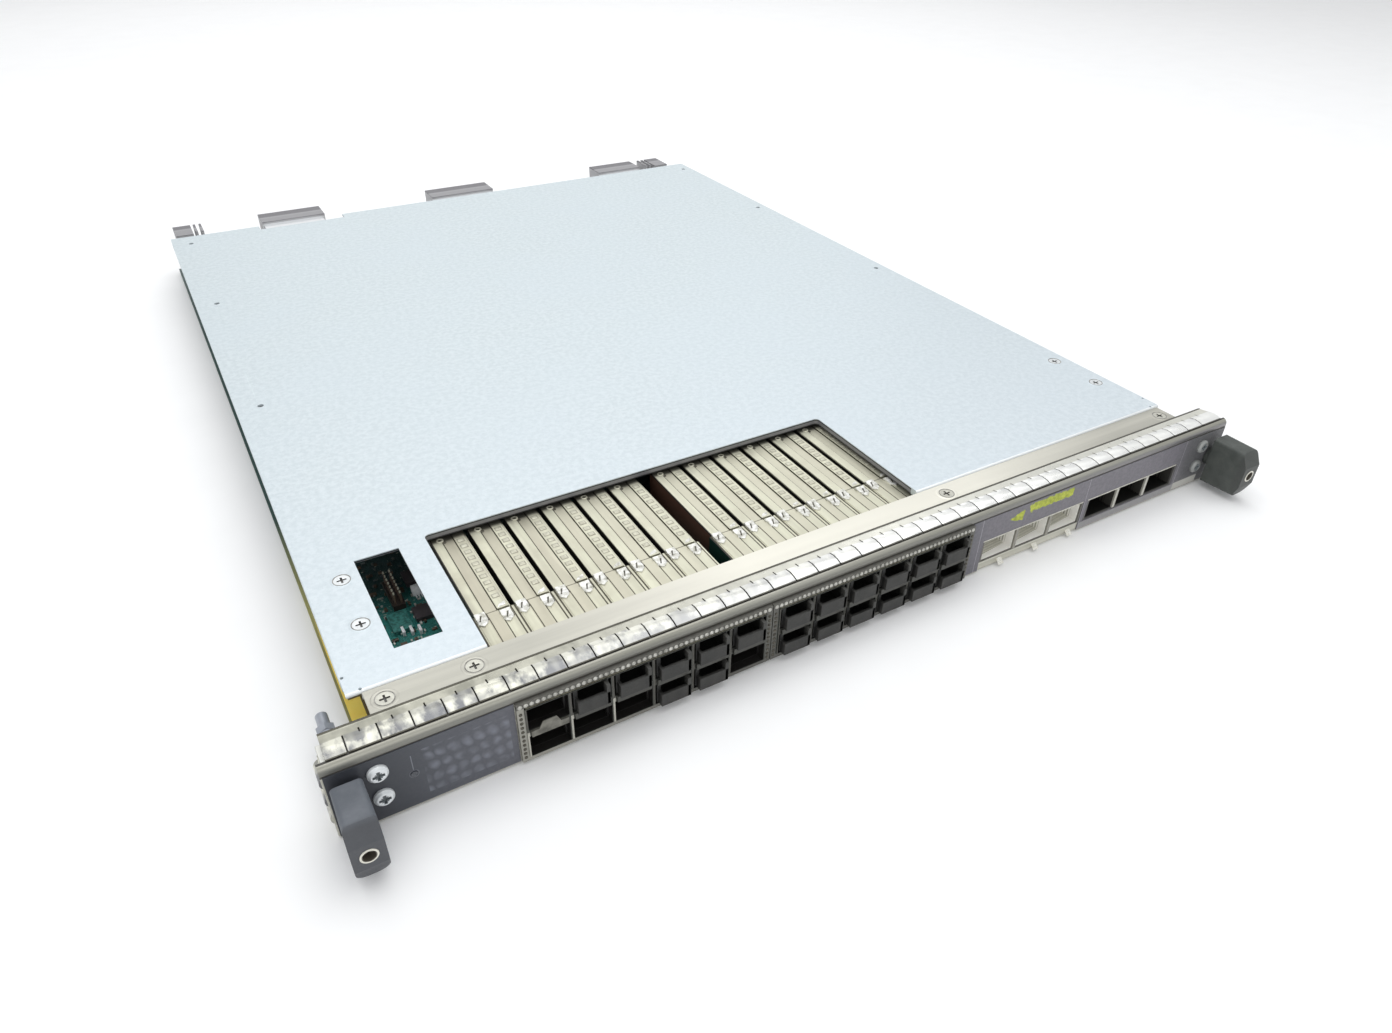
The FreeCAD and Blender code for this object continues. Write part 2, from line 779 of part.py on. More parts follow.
def qsfp_cage(centre):
    """Ganged cage for three larger ports, raised a little above the board at its mouth."""
    mouth = block(centre - quad_half, centre + quad_half, quad_front, quad_rear,
                  quad_bottom - quad_wall + opening_gap, quad_top)
    foot = block(centre - quad_half, centre + quad_half, web_back + opening_gap, quad_rear,
                 board_top, quad_top)
    tools = []
    for x in column_centres(centre, quad_columns, quad_pitch):
        tools.append(block(x - quad_width / 2, x + quad_width / 2, quad_front,
                           quad_module_depth + quad_connector_depth,
                           quad_bottom, quad_bottom + quad_height))
    return carve(join([mouth, foot]), tools)


def qsfp_connectors():
    """Contact blocks standing at the back of every larger port."""
    blocks = []
    for centre in quad_centres:
        for x in column_centres(centre, quad_columns, quad_pitch):
            half = quad_width / 2 - quad_web
            body = block(x - half, x + half, quad_module_depth,
                         quad_module_depth + quad_connector_depth,
                         quad_bottom, quad_bottom + quad_height - cage_roof)
            middle = quad_bottom + quad_height / 2 - cage_wall
            slot = block(x - half + contact_slot, x + half - contact_slot, quad_module_depth,
                         quad_module_depth + quad_connector_depth / 2,
                         middle - contact_slot / 2, middle + contact_slot / 2)
            blocks.append(body.cut(slot))
    return Part.makeCompound(blocks)


def qsfp_gasket_springs():
    """Short earthing tongues on the bright strip under the first group of larger ports."""
    springs = []
    for x in column_centres(quad_centres[0] + spring_offset, quad_columns, quad_pitch + 1):
        profile = [(x, web_front, 3.4), (x, web_front - spring_reach, 1.4),
                   (x, web_front - spring_reach, 1.1), (x, web_front, 2.8)]
        springs.append(prism([(x - spring_width / 2, y, z) for _, y, z in profile],
                             (spring_width, 0, 0)))
    return Part.makeCompound(springs)


def status_led():
    """Round light guide beside the legend."""
    x, z = led_spot
    return rod(led_radius, (x, -led_proud, z), led_reach)


# ---------------------------------------------------------------- parts standing on the board
def heat_sink(spot):
    """Finned plate on top of a switch chip, its fins running across the card."""
    x, y = spot
    half_x = sink_width / 2
    half_y = sink_depth / 2
    low = board_top + asic_height
    top = cover_under - sink_headroom
    pieces = [block(x - half_x, x + half_x, y - half_y, y + half_y, low, low + sink_base)]
    step = (sink_depth - sink_fin) / (sink_fin_count - 1)
    for y0 in column_centres(y, sink_fin_count, step):
        pieces.append(block(x - half_x, x + half_x, y0 - sink_fin / 2, y0 + sink_fin / 2, low, top))
    for sx in (-1, 1):
        for sy in (-1, 1):
            foot = (x + sx * (half_x - sink_foot), y + sy * (half_y - sink_foot), board_top)
            pieces.append(rod(sink_foot / 2, foot, asic_height, Vector(0, 0, 1)))
    return join(pieces)


def asic_packages():
    """Square chips under the heat sinks."""
    half = asic_size / 2
    return Part.makeCompound([block(x - half, x + half, y - half, y + half,
                                    board_top, board_top + asic_height) for x, y in sink_centres])


def power_modules():
    """Potted converter bricks."""
    half_x = brick_width / 2
    half_y = brick_depth / 2
    return Part.makeCompound([block(x - half_x, x + half_x, y - half_y, y + half_y, board_top,
                                    board_top + brick_height) for x, y in brick_spots])


def processor_module():
    """Plug-in processor card on four pillars, with a low heat spreader."""
    x, y = module_column, processor_row
    half_x = processor_width / 2
    half_y = processor_depth / 2
    low = board_top + processor_lift
    pieces = [block(x - half_x, x + half_x, y - half_y, y + half_y, low, low + module_sheet)]
    pieces.append(block(x - half_x / 2, x + half_x / 2, y - half_x / 2, y + half_x / 2,
                        low, low + processor_lift))
    for sx in (-1, 1):
        for sy in (-1, 1):
            foot = (x + sx * (half_x - sink_foot), y + sy * (half_y - sink_foot), board_top)
            pieces.append(rod(sink_foot / 2, foot, processor_lift, Vector(0, 0, 1)))
    return join(pieces)


def memory_module():
    """Upright memory cards in their sockets."""
    half = memory_length / 2
    x = module_column
    cards = []
    for y in column_centres(memory_row, memory_count, memory_pitch):
        socket = block(x - half - socket_lap, x + half + socket_lap, y - socket_width / 2,
                       y + socket_width / 2, board_top, board_top + socket_height)
        card = block(x - half, x + half, y - module_sheet / 2, y + module_sheet / 2,
                     board_top + socket_lap, board_top + memory_height)
        cards.append(join([socket, card]))
    return Part.makeCompound(cards)


def board_header():
    """Two-row pin header seen through the cover window."""
    x, y = header_spot
    length = header_rows * header_pitch
    pieces = [block(x - header_pitch, x + header_pitch, y - length / 2, y + length / 2,
                    board_top, board_top + header_pitch)]
    for px in column_centres(x, 2, header_pitch):
        for py in column_centres(y, header_rows, header_pitch):
            pieces.append(block(px - pin_half, px + pin_half, py - pin_half, py + pin_half,
                                board_top, board_top + pin_height))
    return join(pieces)


def board_chips():
    """Small packages around the header."""
    return Part.makeCompound([block(x - w / 2, x + w / 2, y - d / 2, y + d / 2,
                                    board_top, board_top + chip_height) for x, y, w, d in chip_spots])


# ---------------------------------------------------------------- jackscrews and their handles
def carrier(side):
    """Block behind the faceplate corner that guides one jackscrew."""
    x = half_width - screw_inset
    body = block(x - carrier_inner, x + carrier_outer, web_back, carrier_back, board_top, carrier_top)
    tools = [rod(shaft_radius + running_clearance, (x, web_back, screw_height), carrier_depth)]
    for z in face_screw_heights:
        spot = (half_width - face_screw_inset, web_back, z)
        tools.append(rod(screw_radius + screw_clearance, spot, csk_length + 0.5))
    made = carve(body, tools)
    return made if side > 0 else made.mirror(Vector(), Vector(1, 0, 0))


def rounded_outline(x, y, half, low, top, low_corner, top_corner):
    """Upright rectangle in the XZ plane with its lower and upper corners rounded."""
    turn = 1 - math.cos(math.radians(45))
    corners = [(half, low, -1, 1, low_corner, 1), (half, top, -1, -1, top_corner, 0),
               (-half, top, 1, -1, top_corner, 1), (-half, low, 1, 1, low_corner, 0)]
    edges = []
    ends = []
    for dx, z, sx, sz, r, flat_first in corners:
        on_flat = Vector(x + dx + sx * r, y, z)
        on_side = Vector(x + dx, y, z + sz * r)
        bulge = Vector(x + dx + sx * r * turn, y, z + sz * r * turn)
        first, last = (on_flat, on_side) if flat_first else (on_side, on_flat)
        edges.append(Part.Arc(first, bulge, last).toShape())
        ends.append((first, last))
    sides = [Part.makeLine(ends[k][1], ends[(k + 1) % 4][0]) for k in range(4)]
    return Part.Wire([edge for pair in zip(edges, sides) for edge in pair])


def handle(side):
    """Moulded turning handle: broad at the back, tapering towards a blunt nose."""
    x = side * (half_width - screw_inset)
    low = screw_height - handle_height / 2
    top = screw_height + handle_height / 2
    back = handle_back_width / 2
    nose = handle_front_width / 2
    rear_y = -handle_gap
    front_y = -handle_reach
    body = Part.makeLoft([rounded_outline(x, rear_y, back, low, top, handle_heel, handle_heel),
                          rounded_outline(x, front_y, nose, low, top, handle_chin, handle_brow)],
                         True, False)
    side_view = [(rear_y, low), (rear_y, top), (-handle_top_reach, top),
                 (front_y, screw_height + 5.1), (front_y, screw_height - 5.4),
                 (-handle_foot_reach, low)]
    cheek = prism([(x - nose - 1, y, z) for y, z in side_view], (2 * nose + 2, 0, 0))
    body = body.common(cheek)
    boss = rod(boss_radius, (x, rear_y - 1, screw_height), handle_gap + 1 - axial_gap)
    ferrule_end = front_y + ferrule_length
    tools = [rod(ferrule_radius + fit_clearance, (x, front_y, screw_height), ferrule_length),
             rod(shaft_radius + fit_clearance, (x, ferrule_end, screw_height), handle_reach)]
    return carve(join([body, boss]), tools)


def handle_ferrule(side):
    """Metal sleeve in the nose of the handle, with a hexagonal driver recess."""
    x = side * (half_width - screw_inset)
    front_y = -handle_reach - ferrule_proud
    body = rod(ferrule_radius, (x, front_y, screw_height), ferrule_length + ferrule_proud)
    points = [(px, front_y, pz) for px, pz in hexagon(x, screw_height, ferrule_hex)]
    return body.cut(prism(points, (0, ferrule_recess, 0)))


def jackscrew(side):
    """Plain shaft with a hexagonal collar and a threaded tip behind it."""
    x = side * (half_width - screw_inset)
    start = -handle_reach + ferrule_length
    shaft = rod(shaft_radius, (x, start, screw_height), collar_y - start)
    points = [(px, collar_y, pz) for px, pz in hexagon(x, screw_height, collar_width)]
    collar = prism(points, (0, collar_length, 0))
    tip = rod(thread_radius, (x, collar_y, screw_height), thread_end - collar_y)
    tip = tip.makeChamfer(thread_chamfer, [e for e in tip.Edges
                          if abs(e.CenterOfMass.y - thread_end) < 0.01])
    return join([shaft, collar, tip])


def retaining_ring(side):
    """Ring fixed on the shaft behind the carrier, which keeps the jackscrew captive."""
    x = side * (half_width - screw_inset)
    y = carrier_back + axial_gap
    ring = rod(ring_radius, (x, y, screw_height), ring_thickness)
    return ring.cut(rod(shaft_radius + fit_clearance, (x, y, screw_height), ring_thickness))


# ---------------------------------------------------------------- export
def all_parts():
    """Every piece by name."""
    parts = {
        "faceplate": faceplate(),
        "faceplate_overlay": faceplate_overlay(),
        "emi_finger_strip_top": emi_top_strip(),
        "emi_finger_strip_left": emi_end_strip(-1),
        "emi_finger_strip_right": emi_end_strip(1),
        "front_bracket": front_bracket(),
        "top_cover": top_cover(),
        "base_pan": base_pan(),
        "main_board": main_board(),
        "sfp_connectors": sfp_connectors(),
        "sfp_latch_bars": sfp_latch_bars(),
        "qsfp_connectors": qsfp_connectors(),
        "qsfp_gasket_springs": qsfp_gasket_springs(),
        "status_led": status_led(),
        "cover_standoffs": cover_standoffs(),
        "bracket_standoffs": bracket_standoffs(),
        "cover_screws": cover_screws(),
        "bracket_screws": bracket_screws(),
        "faceplate_screws": faceplate_screws(),
        "asic_packages": asic_packages(),
        "power_modules": power_modules(),
        "processor_module": processor_module(),
        "memory_module": memory_module(),
        "board_header": board_header(),
        "board_chips": board_chips(),
    }
    for bank, end in enumerate(("left", "right")):
        parts["sfp_cage_" + end] = sfp_cage(bank_centres[bank])
        parts["sfp_gasket_" + end] = sfp_gasket(bank_centres[bank])
        parts["dust_plugs_" + end] = dust_plugs(bank)
        parts["qsfp_cage_" + end] = qsfp_cage(quad_centres[bank])
    for side, end in ((-1, "left"), (1, "right")):
        parts["jackscrew_carrier_" + end] = carrier(side)
        parts["handle_" + end] = handle(side)
        parts["handle_ferrule_" + end] = handle_ferrule(side)
        parts["jackscrew_" + end] = jackscrew(side)
        parts["retaining_ring_" + end] = retaining_ring(side)
    for name, span in zip(("left", "middle", "right"), connector_spans):
        parts["backplane_connector_" + name] = backplane_connector(*span)
    parts["guide_block_left"] = guide_block(guide_lefts[0], 1)
    parts["guide_block_right"] = guide_block(guide_lefts[1], -1)
    for name, spot in zip(("front", "right", "rear"), sink_centres):
        parts["heat_sink_" + name] = heat_sink(spot)
    return parts


os.makedirs("parts", exist_ok=True)
for name, shape in all_parts().items():
    shape.translate(Vector(0, -depth_centre, 0))
    shape.exportStep("parts/" + name + ".step")
    print(name, "valid" if shape.isValid() else "INVALID", round(shape.Volume))
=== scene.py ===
"""Looks of a pull-out switch line card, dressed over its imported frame."""
import math

import bmesh
import bpy
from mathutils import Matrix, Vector


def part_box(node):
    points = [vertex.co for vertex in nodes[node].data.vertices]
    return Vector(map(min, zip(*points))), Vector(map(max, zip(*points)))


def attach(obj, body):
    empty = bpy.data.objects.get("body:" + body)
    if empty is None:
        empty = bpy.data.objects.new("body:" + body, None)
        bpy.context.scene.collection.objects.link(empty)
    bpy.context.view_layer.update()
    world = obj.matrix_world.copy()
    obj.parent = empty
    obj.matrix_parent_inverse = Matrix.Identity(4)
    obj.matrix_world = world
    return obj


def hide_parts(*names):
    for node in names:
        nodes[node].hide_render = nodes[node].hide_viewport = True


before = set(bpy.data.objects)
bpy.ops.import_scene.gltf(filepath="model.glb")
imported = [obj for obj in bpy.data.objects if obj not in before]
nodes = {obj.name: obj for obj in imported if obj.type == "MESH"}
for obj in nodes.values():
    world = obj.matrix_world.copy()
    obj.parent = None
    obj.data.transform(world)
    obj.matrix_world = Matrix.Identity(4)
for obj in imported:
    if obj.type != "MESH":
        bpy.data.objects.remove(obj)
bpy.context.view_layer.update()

# ------------------------------------------------------------------ floor
# A large plain sheet of matt white paper on which the card lies, far wider than the view.
# It is the only surface that is not part of the card.
mm = 0.001


class Wire:
    """One output of a node. Arithmetic on it adds Math nodes to the same tree."""

    def __init__(self, web, socket):
        self.web = web
        self.socket = socket

    def maths(self, operation, *values):
        return self.web.add("ShaderNodeMath", {"operation": operation}, dict(enumerate(values)))

    def __add__(self, other):
        return self.maths("ADD", self, other)

    def __radd__(self, other):
        return self.maths("ADD", other, self)

    def __sub__(self, other):
        return self.maths("SUBTRACT", self, other)

    def __rsub__(self, other):
        return self.maths("SUBTRACT", other, self)

    def __mul__(self, other):
        return self.maths("MULTIPLY", self, other)

    def __rmul__(self, other):
        return self.maths("MULTIPLY", other, self)

    def __truediv__(self, other):
        return self.maths("DIVIDE", self, other)

    def __gt__(self, other):
        return self.maths("GREATER_THAN", self, other)

    def __lt__(self, other):
        return self.maths("LESS_THAN", self, other)

    def __pow__(self, other):
        return self.maths("POWER", self, other)

    def __mod__(self, other):
        return self.maths("FLOORED_MODULO", self, other)

    def __abs__(self):
        return self.maths("ABSOLUTE", self)


class Web:
    """A node tree that is filled by one method."""

    def __init__(self, tree):
        self.tree = tree
        tree.nodes.clear()

    def add(self, kind, settings=None, sockets=None, out=0):
        """Adds a node: its settings first, then the values or links of its sockets."""
        node = self.tree.nodes.new(kind)
        for name, value in (settings or {}).items():
            if name == "stops":
                ramp = node.color_ramp.elements
                while len(ramp) < len(value):
                    ramp.new(1.0)
                for stop, (place, colour) in zip(ramp, value):
                    stop.position = place
                    stop.color = colour
            else:
                setattr(node, name, value)
        for name, value in (sockets or {}).items():
            if isinstance(value, Wire):
                self.tree.links.new(value.socket, node.inputs[name])
            else:
                node.inputs[name].default_value = value
        return Wire(self, node.outputs[out]) if node.outputs else node


class Finish(Web):
    """A surface finish: a material whose patterns read the object's own coordinates.

    x, y and z are millimetres across, behind the film's front, and up.
    """

    def __init__(self, name):
        self.material = bpy.data.materials.new(name)
        self.material.use_nodes = True
        super().__init__(self.material.node_tree)
        self.place = self.add("ShaderNodeTexCoord", out=3)
        across, behind, up = (self.add("ShaderNodeSeparateXYZ", None, {0: self.place}, out=k)
                              for k in range(3))
        self.x, self.y, self.z = across / mm, behind / mm - face / mm, up / mm

    def noise(self, pitch, detail=3.0, stretch=(1, 1, 1), rough=0.55):
        """Soft random pattern from 0 to 1 with features of about this pitch in millimetres."""
        grain = self.add("ShaderNodeMapping", None, {0: self.place, 3: stretch})
        return self.add("ShaderNodeTexNoise", None,
                        {"Vector": grain, "Scale": 1000.0 / pitch, "Detail": detail, "Roughness": rough})

    def level(self, value, low, high, to_low=0.0, to_high=1.0):
        """A value stretched from one range to another, and held inside it."""
        return self.add("ShaderNodeMapRange", None, {0: value, 1: low, 2: high, 3: to_low, 4: to_high})

    def spread(self, grain, to_low=0.0, to_high=1.0):
        """A soft pattern stretched over a range."""
        return self.level(grain, 0.3, 0.7, to_low, to_high)

    def blend(self, amount, first, second):
        """Colour between two colours."""
        pair = {0: amount}
        for key, colour in ((6, first), (7, second)):
            pair[key] = colour if isinstance(colour, Wire) else (*colour, 1.0)
        return self.add("ShaderNodeMix", {"data_type": "RGBA"}, pair, out=2)

    def within(self, value, low, high):
        """1 where a value lies between two others, else 0."""
        return (value > low) * (value < high)

    def disc(self, u, v, radius):
        """1 inside a circle about the origin of u and v."""
        return (u * u + v * v) < radius * radius

    def shade(self, colour, roughness=0.5, metal=0.0, relief=None, depth=0.05, **more):
        """Closes the tree with the main shader. depth is the height of the relief in millimetres."""
        sockets = {"Base Color": colour if isinstance(colour, Wire) else (*colour, 1.0),
                   "Roughness": roughness, "Metallic": metal}
        sockets.update(more)
        if relief is not None:
            sockets["Normal"] = self.add("ShaderNodeBump", None,
                                         {"Distance": depth * mm, "Height": relief})
        shader = self.add("ShaderNodeBsdfPrincipled", None, sockets)
        self.add("ShaderNodeOutputMaterial", None, {0: shader})
        return self.material

    def coat(self, tone, grain, low, high, metal=0.0, depth=0.01):
        """Closes the tree with one grain in the roughness, from low to high, and in the relief."""
        return self.shade(tone, self.spread(grain, low, high), metal, grain, depth)

    def plain(self, dark, light, pitch, roughness, metal=0.0, depth=0.015, stretch=(1, 1, 1)):
        """One colour with soft variation, and a fine grain in its gloss and relief."""
        grain = self.noise(pitch / 6, 3, stretch)
        tone = self.blend(self.spread(self.noise(pitch, 3, stretch)), dark, light)
        return self.coat(tone, grain, roughness - 0.06, roughness + 0.06, metal, depth)


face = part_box("faceplate_overlay")[0].y
floor_paper = Finish("floor_paper").plain((0.93, 0.93, 0.93), (0.95, 0.95, 0.95), 40, 0.9)
floor_mesh = bpy.data.meshes.new("floor")
floor_mesh.from_pydata([(-6, -6, -0.0002), (6, -6, -0.0002), (6, 6, -0.0002), (-6, 6, -0.0002)],
                       [], [(0, 1, 2, 3)])
floor_mesh.materials.append(floor_paper)
floor = bpy.data.objects.new("floor", floor_mesh)
bpy.context.collection.objects.link(floor)

# ------------------------------------------------------------------ lights and camera
# Soft overhead light, a long pale panel in front for the dark face, and a weaker one behind.
# The camera stands high in front of the left end of the faceplate.


def soft_light(name, spot, aim, width, depth, watts, tint=(1, 1, 1)):
    lamp = bpy.data.lights.new(name, "AREA")
    lamp.shape = "RECTANGLE"
    lamp.size = width
    lamp.size_y = depth
    lamp.energy = watts
    lamp.color = tint
    holder = bpy.data.objects.new(name, lamp)
    holder.location = spot
    holder.rotation_euler = (Vector(aim) - Vector(spot)).to_track_quat("-Z", "Y").to_euler()
    bpy.context.collection.objects.link(holder)


soft_light("overhead", (0.1, 0.15, 1.5), (0, 0, 0), 2.0, 1.6, 14.5, (0.975, 0.99, 1.0))
soft_light("front_panel", (-0.5, -1.5, 0.75), (0, -0.2, 0), 1.6, 0.6, 3.5)
soft_light("rear_panel", (0.6, 1.6, 0.8), (0, 0.2, 0), 1.8, 0.6, 3)

world = bpy.data.worlds.new("studio")
bpy.context.scene.world = world
world.use_nodes = True
sky = Web(world.node_tree)
height = sky.add("ShaderNodeSeparateXYZ", None, {0: sky.add("ShaderNodeTexCoord", out=0)}, out=2)
tone = sky.add("ShaderNodeValToRGB",
               {"stops": [(0.0, (0.75, 0.75, 0.75, 1)), (0.45, (0.62, 0.63, 0.65, 1)),
                          (0.62, (0.9, 0.92, 0.95, 1)), (1.0, (1, 1, 1, 1))]},
               {0: height * 0.5 + 0.5})
sky.add("ShaderNodeOutputWorld", None, {0: sky.add("ShaderNodeBackground", None, {0: tone, 1: 0.72})})
bpy.context.scene.view_settings.view_transform = "Standard"

lens = bpy.data.cameras.new("camera")
lens.sensor_width = 36.0
lens.lens = 24.41
lens.clip_start = 0.01
lens.clip_end = 50.0
camera = bpy.data.objects.new("camera", lens)
camera.location = (-0.21402, -0.47324, 0.26022)
camera.rotation_euler = [math.radians(a) for a in (54.231, -0.813, -30.312)]
bpy.context.collection.objects.link(camera)
bpy.context.scene.camera = camera

# ------------------------------------------------------------------ bottom pan
# A plain pan of thin zinc-plated steel sheet that stiffens the board from below. The board
# lies on it, and it stops short of the board's rear edge.


def span(node):
    """Box of a CAD node in millimetres: across, behind the film's front, and up."""
    low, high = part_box(node)
    return (low.x / mm, high.x / mm, (low.y - face) / mm, (high.y - face) / mm, low.z / mm, high.z / mm)


smooth_limit, large_face = 25, 200 * mm * mm


def finish_piece(name, mesh, finish, body="chassis", stands_for=()):
    """Puts a mesh in the scene as a finished piece on its body."""
    mesh.materials.clear()
    mesh.materials.append(finish)
    mesh.shade_smooth()
    mesh.set_sharp_from_angle(angle=math.radians(smooth_limit))
    for polygon in mesh.polygons:
        if polygon.area > large_face:
            polygon.use_smooth = False
    piece = bpy.data.objects.new(name, mesh)
    bpy.context.collection.objects.link(piece)
    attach(piece, body)
    if stands_for:
        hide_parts(*stands_for)
    return piece


def dressed(node, finish, edge=0.15, body="chassis", angle=30):
    """A copy of a CAD solid with softened edges, which then stands for it."""
    shape = bmesh.new()
    shape.from_mesh(nodes[node].data)
    bmesh.ops.remove_doubles(shape, verts=shape.verts, dist=1e-6)
    bmesh.ops.dissolve_limit(shape, angle_limit=math.radians(0.6), verts=shape.verts, edges=shape.edges)
    sharp = [e for e in shape.edges if len(e.link_faces) == 2
             and e.calc_face_angle(0) > math.radians(angle)]
    bmesh.ops.bevel(shape, geom=sharp, offset=edge * mm, segments=2, profile=0.6,
                    affect="EDGES", clamp_overlap=True)
    mesh = bpy.data.meshes.new(node + "_dressed")
    shape.to_mesh(mesh)
    shape.free()
    return finish_piece(node + "_dressed", mesh, finish, body, (node,))


zinc = Finish("cover_zinc")
spangle = zinc.noise(2.6, 4)
speck = zinc.noise(0.7, 2)
# Towards the front the zinc is painted lighter and bluer: a painted sheen, the reflection of the pale
# sky.
sheen_to_front = zinc.level(zinc.y, 480, 40)
zinc_tone = zinc.blend(zinc.level(spangle, 0.38, 0.62), (0.545, 0.61, 0.63), (0.64, 0.70, 0.72))
zinc_tone = zinc.blend(zinc.spread(zinc.noise(60, 2)) * 0.35, zinc_tone, (0.60, 0.67, 0.71))
zinc_tone = zinc.blend(zinc.level(speck, 0.58, 0.72) * 0.4, zinc_tone, (0.44, 0.49, 0.52))
zinc_tone = zinc.blend(sheen_to_front ** 2 * 0.28, zinc_tone, (0.80, 0.86, 0.93))
# A pale band along the lid's front edge is a painted highlight on its rounded bend.
front_edge_highlight = zinc.within(zinc.y, 0, span("top_cover")[2] + 1.0)
zinc_tone = zinc.blend(front_edge_highlight * 0.8, zinc_tone, (0.90, 0.92, 0.92))
cover_top = span("top_cover")[5]
# The turned-down rims around the lid's openings are painted dark, darkest along their middle: painted
# shade under the lid's edge.
opening_rim_shade = (zinc.within(zinc.x, span("board_header")[0] - 20, span("sfp_cage_right")[1] + 12)
                * zinc.within(zinc.y, span("front_bracket")[3] + 4, span("board_header")[3] + 30)
                * zinc.within(zinc.z, cover_top - 4, cover_top - 0.4))
opening_shade_tone = zinc.blend(zinc.within(zinc.z, cover_top - 2.5, cover_top - 1.0), (0.07, 0.07, 0.075),
                      (0.27, 0.27, 0.28))
zinc_tone = zinc.blend(opening_rim_shade, zinc_tone, opening_shade_tone)
cover_zinc = zinc.shade(zinc_tone, zinc.spread(spangle, 0.42, 0.54), 0.4, speck, 0.012)
dressed("base_pan", cover_zinc, 0.2)

# ------------------------------------------------------------------ circuit board
# A thick glass-fibre board, dark teal lacquer on both faces and bare golden laminate along
# its left guide tongue and at the corner by the faceplate, with dark copper tracks under it.
board_x0, board_x1, _, _, _, board_top = span("main_board")
tongue = 5.0
corner_x, corner_y = board_x0 + 9, 66
laminate = Finish("board_green")
along = laminate.noise(1.1, 1, (1, 6, 1))
crossing = laminate.noise(1.3, 1, (6, 1, 1))
tracks = laminate.level(along, 0.56, 0.60) + laminate.level(crossing, 0.60, 0.64)
lacquer = laminate.blend(laminate.spread(laminate.noise(14)), (0.012, 0.100, 0.090),
                         (0.030, 0.210, 0.185))
lacquer = laminate.blend(tracks * 0.6, lacquer, (0.06, 0.40, 0.35))
# Behind the window's front the lacquer darkens to near black: painted shade under the lid.
lacquer = laminate.blend(laminate.level(laminate.y, 90, 112) * 0.9, lacquer, (0.006, 0.022, 0.022))
pads = laminate.level(laminate.noise(1.5, 0), 0.74, 0.77)
lacquer = laminate.blend(pads * 0.6, lacquer, (0.50, 0.52, 0.44))
golden = laminate.blend(laminate.noise(5), (1.0, 0.70, 0.10), (1.0, 0.80, 0.16))
# Dark bands behind the golden corner and to its right are painted shadow of the lid's edge and of the
# bracket's end.
cover_edge_shadow = laminate.within(laminate.y, 55.4, corner_y) * (laminate.x > board_x0 + 2.2)
golden = laminate.blend(cover_edge_shadow + (laminate.x > board_x0 + 6.3), golden, (0.12, 0.085, 0.03))
golden = laminate.blend(laminate.x < board_x0 + 0.9, golden, (0.26, 0.24, 0.07))
# Further back the bare tongue turns olive and then near black-green: partly the board's own green,
# partly painted shade under the lid.
olive = laminate.blend(laminate.level(laminate.y, 110, 185), (0.42, 0.40, 0.14), (0.015, 0.06, 0.05))
edge_tone = laminate.blend(laminate.level(laminate.y, 84, 112, 1, 0), olive, golden)
corner = laminate.within(laminate.x, board_x0 + tongue, corner_x) * (laminate.y < corner_y)
bare = (laminate.x < board_x0 + tongue) + (laminate.x > board_x1 - tongue)
laminate_tone = laminate.blend(bare + corner, lacquer, edge_tone)
board_green = laminate.shade(laminate_tone, laminate.spread(laminate.noise(3), 0.28, 0.42),
                             0.0, tracks, 0.03)
dressed("main_board", board_green, 0.1)

# ------------------------------------------------------------------ small parts on the board
# Ceramic capacitors with bright tinned ends, resistors, square black packages and a two-row
# pin header, soldered to the board below the cover's window.


def at(x, y, z):
    """A point in metres from millimetres across, behind the film's front, and up."""
    return Vector((x * mm, face + y * mm, z * mm))


class Stack:
    """A mesh put together from closed solids, in millimetres from the film's front."""

    def __init__(self):
        self.shape = bmesh.new()

    def prism(self, outline, push):
        """Closed flat outline pushed along a direction."""
        near = [self.shape.verts.new(at(*p)) for p in outline]
        step = Vector(push) * mm
        far = [self.shape.verts.new(v.co + step) for v in near]
        self.shape.faces.new(near)
        self.shape.faces.new(far[::-1])
        for k, a in enumerate(near):
            b = near[(k + 1) % len(near)]
            self.shape.faces.new((b, a, far[k], far[(k + 1) % len(near)]))

    def block(self, x0, x1, y0, y1, z0, z1):
        self.prism([(x0, y0, z0), (x1, y0, z0), (x1, y0, z1), (x0, y0, z1)], (0, y1 - y0, 0))

    def slab(self, low, thickness, *corners):
        """Level sheet with these corners, its lower face at a height."""
        self.prism([(*corner, low) for corner in corners], (0, 0, thickness))

    def turned(self, x, y, z, section, axis="Y", sides=32, ring=False):
        """Round solid about an axis: (radius, distance along it) pairs, or a closed ring of them."""
        rings = []
        for radius, end in section:
            loop = []
            for k in range(sides):
                a = 2 * math.pi * k / sides
                u, v = radius * math.cos(a), radius * math.sin(a)
                spot = (x + u, y + end, z + v) if axis == "Y" else (x + u, y + v, z + end)
                loop.append(self.shape.verts.new(at(*spot)))
            rings.append(loop)
        pairs = list(zip(rings, rings[1:]))
        if ring:
            pairs.append((rings[-1], rings[0]))
        else:
            self.shape.faces.new(rings[0])
            self.shape.faces.new(rings[-1][::-1])
        for first, second in pairs:
            for k in range(sides):
                j = (k + 1) % sides
                self.shape.faces.new((first[j], first[k], second[k], second[j]))

    def mesh(self, name, edge=0.0):
        bmesh.ops.recalc_face_normals(self.shape, faces=self.shape.faces)
        if edge:
            sharp = [e for e in self.shape.edges if e.calc_face_angle(0) > math.radians(40)]
            bmesh.ops.bevel(self.shape, geom=sharp, offset=edge * mm, segments=2, profile=0.6,
                            affect="EDGES", clamp_overlap=True)
        made = bpy.data.meshes.new(name)
        self.shape.to_mesh(made)
        self.shape.free()
        return made


